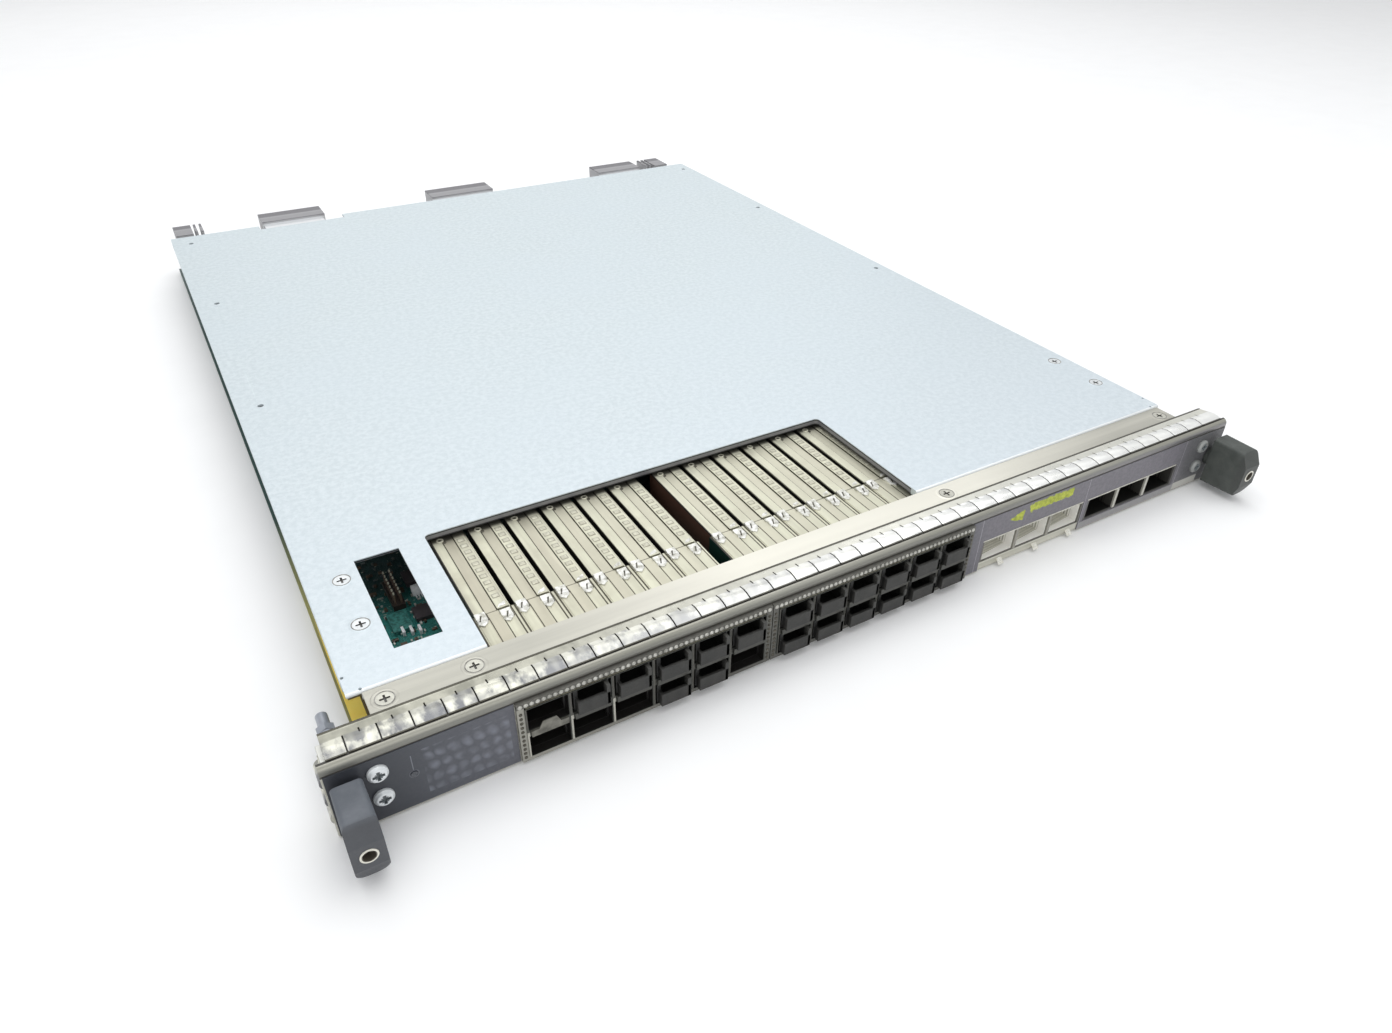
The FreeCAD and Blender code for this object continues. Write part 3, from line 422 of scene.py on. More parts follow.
def grown(name, source, tree, values):
    """Runs a geometry tree once on a mesh and gives back the plain result."""
    holder = bpy.data.objects.new(name + "_source", source)
    bpy.context.collection.objects.link(holder)
    modifier = holder.modifiers.new(name, "NODES")
    modifier.node_group = tree
    sockets = {item.name: item.identifier for item in tree.interface.items_tree}
    for key, value in values.items():
        modifier[sockets[key]] = value
    graph = bpy.context.evaluated_depsgraph_get()
    mesh = bpy.data.meshes.new_from_object(holder.evaluated_get(graph))
    mesh.name = name
    bpy.data.objects.remove(holder)
    return mesh


def tree_with(name, inputs):
    """An empty geometry tree with a geometry input and these named inputs."""
    tree = bpy.data.node_groups.new(name, "GeometryNodeTree")
    tree.interface.new_socket("Geometry", in_out="OUTPUT", socket_type="NodeSocketGeometry")
    tree.interface.new_socket("Geometry", in_out="INPUT", socket_type="NodeSocketGeometry")
    for label, kind in inputs.items():
        tree.interface.new_socket(label, in_out="INPUT", socket_type="NodeSocket" + kind)
    web = Web(tree)
    entry = tree.nodes.new("NodeGroupInput")
    ways = {socket.name: Wire(web, socket) for socket in entry.outputs if socket.name}
    return tree, web, ways


def close_tree(web, copies, finish):
    solid = web.add("GeometryNodeRealizeInstances", None, {0: copies})
    coated = web.add("GeometryNodeSetMaterial", None, {"Geometry": solid, "Material": finish})
    web.add("NodeGroupOutput", None, {0: coated})


def scatter_tree():
    """Copies of the incoming mesh dropped on a flat field, turned by quarter turns."""
    tree, web, ways = tree_with("soldered_parts", {
        "Width": "Float", "Depth": "Float", "Middle": "Vector", "Gap": "Float", "Smallest": "Vector",
        "Largest": "Vector", "Seed": "Int", "Finish": "Material"})
    field = web.add("GeometryNodeMeshGrid", None, {"Size X": ways["Width"], "Size Y": ways["Depth"],
                                                   "Vertices X": 2, "Vertices Y": 2})
    field = web.add("GeometryNodeTransform", None, {"Geometry": field, "Translation": ways["Middle"]})
    points = web.add("GeometryNodeDistributePointsOnFaces", {"distribute_method": "POISSON"},
                     {"Mesh": field, "Distance Min": ways["Gap"], "Density Max": 200000.0,
                      "Seed": ways["Seed"]})
    quarter = web.add("FunctionNodeRandomValue", {"data_type": "INT"},
                      {4: 0, 5: 3, 8: ways["Seed"]}, out=2)
    turn = web.add("ShaderNodeCombineXYZ", None, {2: quarter * (math.pi / 2)})
    size = web.add("FunctionNodeRandomValue", {"data_type": "FLOAT_VECTOR"},
                   {0: ways["Smallest"], 1: ways["Largest"], 8: ways["Seed"]})
    copies = web.add("GeometryNodeInstanceOnPoints", None,
                     {"Points": points, "Instance": ways["Geometry"], "Rotation": turn, "Scale": size})
    close_tree(web, copies, ways["Finish"])
    return tree


soldered_parts = scatter_tree()
window_x, window_y = -172.0, 104.0
field_width, field_depth = 44 * mm, 76 * mm
small_part = Stack()
small_part.block(-0.5, 0.5, -0.3 - face / mm, 0.3 - face / mm, 0.0, 0.5)
small_part = small_part.mesh("small_part", 0.05)
tin = Finish("tinned_parts")
tin_tone = tin.blend(tin.noise(1.2), (0.30, 0.30, 0.27), (0.95, 0.95, 0.90))
# Behind the window's front the parts darken too: painted shade under the lid.
tin_tone = tin.blend(tin.level(tin.y, 92, 112) * 0.85, tin_tone, (0.03, 0.05, 0.05))
tinned = tin.shade(tin_tone, 0.35, 0.2, tin.noise(0.5), 0.01)
dark_parts = Finish("dark_parts").plain((0.02, 0.018, 0.016), (0.16, 0.11, 0.07), 2.4, 0.45)
for name, finish, gap, small, large, seed in (
        ("capacitors", tinned, 3.4, (0.9, 0.9, 0.8), (1.9, 1.7, 1.6), 3),
        ("resistors", dark_parts, 4.6, (1.2, 1.2, 0.8), (2.8, 3.0, 2.4), 8)):
    parts = grown(name, small_part.copy(), soldered_parts,
                  {"Width": field_width, "Depth": field_depth,
                   "Middle": at(window_x, window_y - 4, board_top), "Gap": gap * mm,
                   "Smallest": small, "Largest": large, "Seed": seed, "Finish": finish})
    finish_piece(name, parts, finish)

header_x0, header_x1, header_y0 = span("board_header")[:3]
carrier_top, lit_tips_from = board_top + 2.7, board_top + 7.6
header = Finish("header_pins")
# Above the black carrier the pins are painted dark brown and only their tips bright and metallic:
# painted shade between the crowded pins and a painted highlight on their tips.
lit_pin_tips = header.z > lit_tips_from
header_tone = header.blend(header.z > carrier_top, (0.035, 0.026, 0.022), (0.13, 0.09, 0.065))
header_tone = header.blend(lit_pin_tips, header_tone, (0.85, 0.82, 0.70))
header_pins = header.shade(header_tone, header.spread(header.noise(0.6), 0.3, 0.45), lit_pin_tips * 0.6,
                           header.noise(0.5), 0.01)
dressed("board_header", header_pins, 0.06)

socket_part = Stack()
socket_part.block(header_x1 + 4.4, header_x1 + 10.4, header_y0 + 5.5, header_y0 + 9.0,
                  board_top, board_top + 3.4)
for k in range(5):
    pin_x = header_x1 + 5.1 + 1.15 * k
    socket_part.block(pin_x, pin_x + 0.5, header_y0 + 3.6, header_y0 + 5.5, board_top, board_top + 0.9)
for k in range(3):
    tall_x = header_x0 - 1.0 + 3.1 * k
    socket_part.block(tall_x, tall_x + 1.1, header_y0 - 16.5 - k, header_y0 - 12.6 - k, board_top,
                      board_top + 2.2)
white_parts = Finish("white_parts").plain((0.80, 0.82, 0.83), (0.97, 0.98, 1.0), 2.0, 0.4)
finish_piece("white_socket", socket_part.mesh("white_socket", 0.08), white_parts)

# ------------------------------------------------------------------ packages and heat sinks
# Black moulded packages and power bricks on the board, extruded aluminium heat sinks pressed
# on the largest ones, and a processor board with upright memory modules.
moulded = Finish("chip_black").plain((0.022, 0.022, 0.022), (0.055, 0.053, 0.05), 3, 0.45)
sink_finned = Finish("sink_aluminium").plain((0.45, 0.46, 0.47), (0.60, 0.61, 0.62), 4, 0.4, 0.9,
                                             0.01, (0.05, 1, 1))
for node in ("asic_packages", "power_modules"):
    dressed(node, moulded, 0.1)
lids = Finish("package_lids")
left_lid = (lids.x < window_x + 5) * (lids.y < window_y)
lid_tone = lids.blend(lids.noise(2, 3), (0.03, 0.025, 0.028), (0.07, 0.06, 0.065))
green_lid = lids.blend(lids.level(lids.noise(1.4, 2), 0.4, 0.6), (0.02, 0.11, 0.10), (0.05, 0.24, 0.21))
lid_tone = lids.blend(left_lid, lid_tone, green_lid)
dressed("board_chips", lids.shade(lid_tone, 0.5, 0.0, lids.noise(0.5), 0.01), 0.1)
for node in ("heat_sink_front", "heat_sink_right", "heat_sink_rear"):
    dressed(node, sink_finned, 0.1)
for node in ("processor_module", "memory_module"):
    dressed(node, board_green, 0.1)

# ------------------------------------------------------------------ backplane connectors
# Moulded grey press-fit housings along the rear edge, open to the rear in a row of wafer
# slots, with a guide block and its keying fins at each corner.
_, _, _, connector_rear, _, connector_top = span("backplane_connector_left")
housing = Finish("rear_housing")
on_top = housing.z > connector_top - 0.6
ledge = housing.within(housing.y, connector_rear - 11.6, connector_rear - 10.4)
grey = housing.blend(housing.noise(8), (0.42, 0.415, 0.425), (0.51, 0.505, 0.515))
dark_top = housing.blend(housing.y > connector_rear - 9, (0.27, 0.265, 0.275), (0.15, 0.145, 0.155))
grey = housing.blend(on_top, grey, dark_top)
# A pale band on the housings below their tops is a painted reflection of the zinc lid.
pale_reflection_band = housing.within(housing.y, connector_rear - 39, connector_rear - 19.3)
pale_reflection_band = pale_reflection_band * (housing.z < connector_top - 1.6)
grey = housing.blend(pale_reflection_band, grey, (0.76, 0.77, 0.78))
grey = housing.blend(on_top * ledge, grey, (0.34, 0.335, 0.345))
rear_housing = housing.coat(grey, housing.noise(0.6), 0.42, 0.55, 0.0, 0.015)
for end in ("left", "middle", "right"):
    dressed("backplane_connector_" + end, rear_housing, 0.15)
for end in ("left", "right"):
    dressed("guide_block_" + end, rear_housing, 0.2)

# ------------------------------------------------------------------ small-port cages
# Stacked cages of thin nickel-plated steel, one block at the mouth and twin-row columns behind
# it, with small pressed vents and folded clips on their roofs and black contact blocks inside.
columns = 6
column_width, strip_width = 14.2, 4.1
joined_rear, roof_step = 50.0, 0.5
vent_count, vent_pitch = 10, 4.4
bead_pitch, side_beads = 2.1, 11


def row_tree():
    """Copies of the incoming mesh in rows: Count along Step, repeated Rows times along Rise."""
    tree, web, ways = tree_with("row_of_copies", {"Count": "Int", "Step": "Vector", "Rows": "Int",
                                                  "Rise": "Vector", "Finish": "Material"})
    copies = ways["Geometry"]
    for count, step in (("Count", "Step"), ("Rows", "Rise")):
        line = web.add("GeometryNodeMeshLine", None, {"Count": ways[count], "Offset": ways[step]})
        copies = web.add("GeometryNodeInstanceOnPoints", None, {"Points": line, "Instance": copies})
    close_tree(web, copies, ways["Finish"])
    return tree


copies_in_rows = row_tree()


def rows(name, mesh, finish, count, step, deep=1, rise=(0, 0, 0)):
    """A finished piece of like copies of a mesh in rows."""
    mesh = grown(name, mesh, copies_in_rows,
                 {"Count": count, "Step": Vector(step) * mm, "Rows": deep, "Rise": Vector(rise) * mm,
                  "Finish": finish})
    return finish_piece(name, mesh, finish)


def cage_finish(name, start, pitch, mouth, rear, gap_shade_tone):
    """Nickel plate, stained along the columns and dark between them, with painted shade inside the
    ports, on the outer flank and at the rear ends, and a painted shadow gap on the left edge.
    """
    cage = Finish(name)
    drawn = cage.noise(2.4, 4, (1, 0.05, 1))
    u = (cage.x - start) % pitch
    tone = cage.blend(cage.spread(drawn), (0.55, 0.535, 0.42), (0.70, 0.69, 0.545))
    tone = cage.blend(cage.within(u, strip_width, 9.1) * 0.6, tone, (0.49, 0.445, 0.355))
    tone = cage.blend(cage.level(cage.noise(14, 3), 0.45, 0.65) * 0.5, tone, (0.46, 0.43, 0.335))
    tone = cage.blend(cage.level(cage.x, -150, -60) * 0.4, tone, (0.80, 0.795, 0.64))
    behind = cage.y > joined_rear
    seam = behind * (cage.within(u, 4.0, 4.62) + cage.within(u, 8.8, 9.15)
                     + cage.within(u, 13.5, 13.8) * 0.6)
    ahead = cage.within(cage.y, 27, joined_rear)
    seam = seam + ahead * (cage.within(u, 4.5, 4.95) + cage.within(u, 9.3, 9.75)
                           + cage.within(u, 13.9, 14.5) + cage.within(u, 15.3, 16.0))
    seam = seam + cage.within(cage.y, joined_rear - 0.3, joined_rear + 0.2) * 0.7
    tone = cage.blend(seam, tone, (0.085, 0.078, 0.055))
    # Painted contact shadow across the roofs just ahead of their rear ends, by the lid's rear rim.
    tone = cage.blend(cage.level(cage.y, rear - 4.8, rear - 3.2) * 0.85, tone, (0.04, 0.038, 0.03))
    # Painted shadow gap along the bank's left edge, beside the lid.
    left_gap_shadow = behind * (cage.x < start + 0.45) + (cage.x < start - 0.4)
    tone = cage.blend(left_gap_shadow, tone, (0.05, 0.045, 0.04))
    capped = (cage.z > 15) + (cage.x > span("sfp_cage_left")[0] + 2.9 * pitch)
    divider = cage.blend(capped, (0.50, 0.49, 0.43), (0.11, 0.107, 0.095))
    lips = cage.blend(cage.within(u, 14.98, 16.0), (0.070, 0.072, 0.064), divider)
    tone = cage.blend(cage.y < mouth + 0.35, tone, lips)
    # Below the roof behind the mouth is painted shade: near black inside the ports, and the dark tones
    # of the gap on the outer flank.
    shade_inside = (cage.z < 25.95) * (cage.y > mouth + 0.35)
    flank_shade = cage.blend(behind, (0.006, 0.030, 0.022), gap_shade_tone)
    inner = cage.blend(cage.x < start + 0.1, (0.012, 0.011, 0.010), flank_shade)
    tone = cage.blend(shade_inside, tone, inner)
    return cage.coat(tone, drawn, 0.34, 0.48, 0.6 * (1 - shade_inside), 0.012)


contact_black = Finish("connector_black").plain((0.012, 0.012, 0.012), (0.03, 0.03, 0.03), 3, 0.45)
vent_plate = Finish("vent_plate").plain((0.50, 0.48, 0.38), (0.70, 0.685, 0.56), 2.4, 0.4, 0.5)
vent_rim = Finish("vent_rim").plain((0.30, 0.285, 0.225), (0.48, 0.46, 0.37), 2.4, 0.5, 0.4)
clip_plate = Finish("clip_plate").plain((0.46, 0.45, 0.38), (1.0, 1.0, 0.97), 1.9, 0.35, 0.25)
shadow_steel = Finish("shadow_steel").plain((0.05, 0.045, 0.035), (0.15, 0.14, 0.11), 1.6, 0.6, 0.2)
sprung = Finish("gasket_plate")
worn_plate = sprung.noise(2.4)
sprung_tone = sprung.blend(worn_plate, (0.075, 0.073, 0.065), (0.19, 0.185, 0.165))
side_web = sprung.blend(sprung.level(sprung.x, -140, -80), (0.42, 0.41, 0.36), (0.13, 0.128, 0.115))
below_beads = sprung.z < span("sfp_gasket_left")[5] - 2.2
sprung_tone = sprung.blend(below_beads * 0.75, sprung_tone, side_web)
gasket_plate = sprung.shade(sprung_tone, 0.45, 0.4, worn_plate, 0.015)
bead_bright = Finish("bead_bright").plain((0.26, 0.255, 0.225), (0.62, 0.61, 0.56), 3.2, 0.35, 0.5)

for end, gap_shade_tone in (("left", (0.060, 0.057, 0.048)), ("right", (0.085, 0.042, 0.028))):
    x0, x1, mouth, rear, _, roof = span("sfp_cage_" + end)
    pitch = (x1 - x0) / columns
    first = x0 + (pitch - column_width) / 2
    cage = cage_finish("cage_nickel_" + end, first, pitch, mouth, rear, gap_shade_tone)
    dressed("sfp_cage_" + end, cage, 0.08)
    step = (pitch, 0, 0)

    vent, frame_line = Stack(), Stack()
    vent.block(first + 10.1, first + 12.3, 56.6, 58.4, roof, roof + 0.16)
    frame_line.block(first + 9.7, first + 12.7, 56.2, 58.8, roof, roof + 0.05)
    for name, stack, finish in (("vents", vent, vent_plate), ("vent_lines", frame_line, vent_rim)):
        rows(name + "_" + end, stack.mesh(name, 0.04), finish, columns, step,
             vent_count, (0, vent_pitch, 0))

    # Dark slabs stand for the painted shadow under and beside each clip, and for a round hole near the
    # rear of each roof.
    clips, hole_and_shadow_slabs, curls = Stack(), Stack(), Stack()
    for x, y, lean in ((first + 2.1, 48.0, 0.0), (first + 11.3, 46.0, 0.5)):
        profile = ((-2.6, -0.3), (3.0, -0.3), (2.1, 0.8), (0.3, 0.35), (-1.7, 0.5))
        clips.prism([(x - 2.0, y + v, roof + w) for v, w in profile], (4.0, 0, 0))
        clips.slab(roof - 0.3, 0.55, (x - 2.1 + lean, y - 3.4), (x - 0.3, y - 5.0 + lean),
                   (x + 1.8 - lean, y - 3.2), (x + 0.9, y - 2.2), (x - 1.2, y - 2.0))
        hole_and_shadow_slabs.slab(roof + 0.1, 0.46, (x - 1.2 + lean, y - 2.0), (x - 0.7 + lean, y - 2.1),
                   (x + 0.5 + lean, y + 0.6), (x - 0.2 + lean, y + 0.6))
        hole_and_shadow_slabs.slab(roof - 0.2, 0.4, (x + 2.0, y - 2.0), (x + 2.3, y - 2.2), (x + 2.3, y + 2.6),
                   (x + 2.0, y + 2.2))
    clips.slab(roof, 0.12, (first + 9.4, 50.6), (first + 12.8, 51.1), (first + 13.1, 53.2),
               (first + 10.4, 52.2))
    hole_and_shadow_slabs.turned(first + 4.9, 99.4, roof - roof_step, [(1.0, 0.0), (1.0, 0.06)], "Z", 16)
    curls.turned(first + 3.7, 100.8, roof - roof_step,
                 [(1.5, 0), (1.5, 0.62), (1.1, 0.7), (0.8, 0.6), (0.8, 0)], "Z", 20, True)
    for name, stack, finish in (("clips", clips, clip_plate), ("clip_holes", hole_and_shadow_slabs, shadow_steel),
                                ("roof_curls", curls, vent_plate)):
        rows(name + "_" + end, stack.mesh(name, 0.05), finish, columns, step)

    g0, g1, front, _, low, high = span("sfp_gasket_" + end)
    dressed("sfp_gasket_" + end, gasket_plate, 0.1)
    bead = Stack()
    bead.turned(g0 + 1.2, front, high - 1.1, [(0.84, 0.05), (0.84, -0.25), (0.5, -0.5)], "Y", 10)
    rows("bead_row_" + end, bead.mesh("bead"), bead_bright,
         int((g1 - g0) / bead_pitch), (bead_pitch, 0, 0))
    bead = Stack()
    bead.turned(g0 + 1.2, front, low + 2.2, [(0.62, 0.05), (0.62, -0.2), (0.3, -0.45)], "Y", 10)
    rows("bead_sides_" + end, bead.mesh("bead"), shadow_steel, 2,
         (g1 - g0 - 2.4, 0, 0), side_beads, (0, 0, bead_pitch))

latch = Finish("latch_plate")
latch_tone = latch.blend(latch.spread(latch.noise(3.2)), (0.10, 0.097, 0.082), (0.24, 0.233, 0.20))
latch_tone = latch.blend(latch.x > span("sfp_latch_bars")[0] + 14, latch_tone, (0.07, 0.07, 0.062))
latch_plate = latch.coat(latch_tone, latch.noise(0.6), 0.36, 0.48, 0.4)
dressed("sfp_latch_bars", latch_plate, 0.08)
dressed("sfp_connectors", contact_black, 0.1)

# ------------------------------------------------------------------ large-port cages
# Two lower ganged cages of three wider ports. The inside of the left one is painted light, with a pool
# of painted light on the floors at the mouth; the inside of the right one is painted shade.
# Thin earthing tongues stand below the left one.
quad_height, quad_pitch = 10.6, 20.6


def large_cage_finish(name, node, lip, web_lip, floor_front, floor_rear, wall_low, wall_high, metal):
    """Nickel plate with its own tone on the lips of the mouth; the port floors and walls carry painted
    light in the left cage and painted shade in the right one.
    """
    cage = Finish(name)
    x0, x1 = span(node)[:2]
    drawn = cage.noise(2.4, 4, (1, 0.05, 1))
    shell = cage.blend(cage.spread(drawn), (0.56, 0.55, 0.47), (0.76, 0.75, 0.68))
    ribs = (cage.y % 1.5 < 0.7) * cage.level(cage.noise(6, 1), 0.3, 0.42)
    walls = cage.blend(ribs * (cage.y > 5.0), wall_high, wall_low)
    low = span("qsfp_connectors")[4]
    hatched = cage.blend((cage.x + cage.y * 0.6) % 1.4 < 0.6, floor_rear, wall_low)
    # The front of each port floor, cut on a slant, takes its own tone: a pool of painted light in the
    # left cage.
    floors = cage.blend(cage.y > 3.0 + (cage.x - x0) % quad_pitch * 0.12, floor_front, hatched)
    walls = cage.blend(cage.z < low + 0.1, walls, floors)
    between = cage.within(cage.x, x0 + 10, x1 - 10) * cage.within(cage.z, low, low + quad_height)
    tone = cage.blend(cage.y > 1.0, cage.blend(between, lip, web_lip), walls)
    tone = cage.blend(cage.z > low + quad_height + 0.1, tone, shell)
    return cage.shade(tone, 0.42, metal, drawn, 0.012)


lit_cage = large_cage_finish(
    "cage_painted_lit", "qsfp_cage_left", (0.15, 0.145, 0.13), (0.26, 0.25, 0.215), (1.0, 0.99, 0.94),
    (0.84, 0.83, 0.73), (0.50, 0.49, 0.42), (1.0, 0.98, 0.92), 0.0)
shaded_cage = large_cage_finish(
    "cage_painted_shade", "qsfp_cage_right", (0.13, 0.127, 0.12), (0.50, 0.49, 0.43), (0.010, 0.010, 0.009),
    (0.010, 0.010, 0.009), (0.012, 0.012, 0.010), (0.05, 0.048, 0.042), 0.1)
dressed("qsfp_cage_left", lit_cage, 0.08)
dressed("qsfp_cage_right", shaded_cage, 0.08)
dressed("qsfp_connectors", contact_black, 0.1)
tongue_tin = Finish("tongue_tin").plain((0.70, 0.68, 0.58), (0.92, 0.91, 0.84), 2.0, 0.3, 0.4)
dressed("qsfp_gasket_springs", tongue_tin, 0.03)

# ------------------------------------------------------------------ faceplate
# Folded channel of nickel-plated steel. The dark legend film in front is bonded on and leaves
# a bare rim at the top; it carries two lime fields and rows of faded generic marks.
film_x0, film_x1, _, _, film_z0, film_z1 = span("faceplate_overlay")
strip_y0, strip_y1, strip_z0 = span("emi_finger_strip_top")[2:5]
nickel = Finish("faceplate_metal")
brush = nickel.noise(3, 3, (0.04, 1, 1))
nickel_tone = nickel.blend(nickel.level(brush, 0.35, 0.65), (0.52, 0.51, 0.43), (0.68, 0.67, 0.59))
# The top rim is darker at the front, and its lower part is painted close to the film's tone: painted
# shade under the rounded lip.
lip_shade_tone = nickel.blend(nickel.level(nickel.x, 0, 150), (0.20, 0.20, 0.18), (0.22, 0.215, 0.225))
front_rim = (nickel.y < 3) * (nickel.z > film_z1 - 0.4)
nickel_tone = nickel.blend(front_rim * 0.6, nickel_tone, (0.24, 0.235, 0.20))
lip_lower_shade = nickel.level(nickel.z, film_z1 + 3.0, film_z1 + 2.0) * front_rim
nickel_tone = nickel.blend(lip_lower_shade * 0.85, nickel_tone, lip_shade_tone)
film_line = nickel.within(nickel.z, film_z1 - 0.4, film_z1 + 0.5)
nickel_tone = nickel.blend(film_line, nickel_tone, (0.12, 0.115, 0.10))
# Under the finger strip the flange is painted near black: painted shade.
shade_under_strip = (nickel.z > strip_z0 - 0.3) * (nickel.y > strip_y0 - 0.3)
nickel_tone = nickel.blend(shade_under_strip, nickel_tone, (0.035, 0.032, 0.025))
faceplate_metal = nickel.coat(nickel_tone, brush, 0.30, 0.42, 0.6 * (1 - shade_under_strip))
dressed("faceplate", faceplate_metal, 0.15)

film = Finish("overlay_film")
cages_x0 = span("sfp_gasket_left")[0]
led_x, led_z = -189.4, 15.8
grain = film.noise(1.2, 3)
# The ground is painted lighter towards the middle and the right, a painted sheen, and darker near both
# ends.
ground = film.blend(film.level(film.x, cages_x0 - 40, cages_x0), (0.066, 0.072, 0.086),
                    (0.105, 0.108, 0.126))
ground = film.blend(film.level(film.x, 40, 60), ground, (0.175, 0.165, 0.185))
by_left = film.level(film.x, film_x0 + 12, film_x0 + 34, 1, 0)
by_right = film.level(film.x, film_x1 - 34, film_x1 - 22)
ground = film.blend(by_left * 0.8, ground, (0.030, 0.033, 0.040))
ground = film.blend(by_right * 0.6, ground, (0.09, 0.095, 0.088))
ground = film.blend(film.level(grain, 0.35, 0.65) * 0.22, ground, (0.05, 0.055, 0.07))
cell_x, cell_z = 4.3, 5.2
u = (film.x + 190.0 + film.z * 0.12 + film.noise(9, 1) * 4) % cell_x - cell_x / 2
v = (film.z - 4.6 + film.noise(7, 1) * 3) % cell_z - cell_z / 2
blob = film.level(u * u + v * v * 0.8, 0.2, 4.6, 1, 0) * film.level(film.noise(4.4, 1), 0.30, 0.60)
legend = blob * film.within(film.x, led_x + 3.5, cages_x0 - 2.5) * film.within(film.z, 4.6, 25.4)
ground = film.blend(legend * 0.38, ground, (0.30, 0.32, 0.38))
from_led = film.x - led_x, film.z - led_z
ring = film.disc(*from_led, 1.7) - film.disc(*from_led, 1.35)
rule = film.within(film.x, led_x - 0.15, led_x + 0.15) * film.within(film.z, led_z + 1.8, led_z + 8.5)
ground = film.blend((ring * 0.5 + rule) * 0.35, ground, (0.40, 0.42, 0.48))
seams = sum((film.within(film.x, s, s + 0.35) for s in (54.8, 120.2, 187.0)), 0.0)
ground = film.blend(seams * 0.5, ground, (0.45, 0.44, 0.46))
jag_x = (film.noise(2.2, 3) - 0.5) * 5
jag_z = (film.noise(1.3, 3) - 0.5) * 3.4
slant = (film.x - 80.0) * 0.01
badge = film.within(film.x + jag_x, 83.0, 110.0) * film.within(film.z - slant + jag_z, 23.7, 27.9)
mark = film.within(film.x + jag_x * 0.6, 71.7, 79.6)
mark = mark * film.within(abs(film.z - 23.6 + jag_z * 0.6) * 1.2 + (79.6 - film.x) * 0.35, 0, 3.2)
lime = film.blend(film.spread(film.noise(1.6)), (0.26, 0.31, 0.005), (0.54, 0.60, 0.04))
ground = film.blend((badge + mark) * 0.92, ground, lime)
low_rim = film.within(film.x, 120.4, 187.4) * (film.z < 4.6)
ground = film.blend(low_rim * 0.6, ground, (0.36, 0.355, 0.345))
foot = film.within(film.x, 187.4, 205.0) * (film.z < 5.0)
film_tone = film.blend(foot * 0.8, ground, (0.56, 0.55, 0.50))
film_tone = film.blend(film.z < film_z0 + 0.55, film_tone, (0.42, 0.41, 0.37))
overlay_film = film.coat(film_tone, grain, 0.40, 0.52, 0.0, 0.015)
dressed("faceplate_overlay", overlay_film, 0.06)
lens_plastic = Finish("lens").plain((0.05, 0.055, 0.065), (0.10, 0.105, 0.12), 1, 0.2)
dressed("status_led", lens_plastic, 0.1)

# ------------------------------------------------------------------ spring fingers
# One long strip of bright stamped spring sheet clipped over the top flange. Its crowned
# fingers press on the card above; short strips with round bumps sit at both ends.
spring = Finish("spring_metal")
finger_pitch, first_slit = 10.4, 9.7
finger_x = (spring.x - span("faceplate")[0] - first_slit) / finger_pitch
finger_number = finger_x.maths("FLOOR", finger_x)
lot = spring.add("ShaderNodeTexWhiteNoise", {"noise_dimensions": "1D"}, {"W": finger_number})
rubbed = spring.noise(7, 3)
fine = spring.noise(0.9, 3, (0.2, 1, 1))
glare_to_right = spring.level(spring.x, -150, 20) * (abs(spring.x) < span("emi_finger_strip_right")[0])
sheen = spring.noise(8, 4, (1, 0.6, 1), 0.6)
half_finger = abs((finger_x * 2) % 1 - 0.36)
upper = spring.level(spring.y, strip_y0 + 1.0, strip_y0 + 4.5)
gleam = spring.level(half_finger, 0.34, 0.08) * 0.2 + spring.level(sheen, 0.45, 0.55) * 0.55
gleam = gleam + upper * 0.25
spring_tone = spring.blend(spring.level(gleam, 0.1, 0.9), (0.17, 0.172, 0.178), (0.78, 0.77, 0.66))
spring_tone = spring.blend(spring.level(lot, 0.4, 1.0) * 0.35, spring_tone, (0.24, 0.245, 0.265))
in_shade = spring.level(spring.y, strip_y0 + 4.6, strip_y0 + 1.6)
in_shade = in_shade * spring.level(spring.noise(12, 3), 0.43, 0.52)
spring_tone = spring.blend(in_shade * 0.55, spring_tone, (0.16, 0.162, 0.175))
# Towards the right the strip is painted near white: a painted reflection.
spring_tone = spring.blend(glare_to_right * 0.88, spring_tone, (1.0, 1.0, 0.97))
band_tone = spring.blend(spring.level(sheen, 0.35, 0.65), (0.33, 0.325, 0.27), (0.56, 0.55, 0.46))
band_tone = spring.blend(glare_to_right * 0.75, band_tone, (0.86, 0.85, 0.77))
on_band = spring.level(spring.y, strip_y0 + 6.9, strip_y0 + 7.5)
spring_tone = spring.blend(on_band, spring_tone, band_tone)
# Thin dark lines along the strip's front and rear edges are painted shade in the gaps beneath them.
edges = (spring.within(spring.y, strip_y1 - 0.9, strip_y1 + 0.1)
         + spring.within(spring.y, strip_y0 - 0.1, strip_y0 + 0.4)) * (spring.z > strip_z0 - 0.1)
spring_tone = spring.blend(edges * 0.92, spring_tone, (0.07, 0.065, 0.05))
spring_metal = spring.shade(spring_tone, spring.level(rubbed, 0.35, 0.65, 0.26, 0.38), 0.7, fine, 0.0015)
dressed("emi_finger_strip_top", spring_metal, 0.05)
for end in ("left", "right"):
    dressed("emi_finger_strip_" + end, spring_metal, 0.08)

# ------------------------------------------------------------------ front bracket
# A stamped nickel-plated strip that bridges the gap between the faceplate flange and the lid.
# Flat-head screws hold it down to short posts.
bracket_top = span("front_bracket")[5]
plated = Finish("bracket_plate")
rolled = plated.noise(4, 4, (0.03, 1, 1))
plated_tone = plated.blend(plated.spread(rolled), (0.45, 0.44, 0.385), (0.56, 0.545, 0.48))
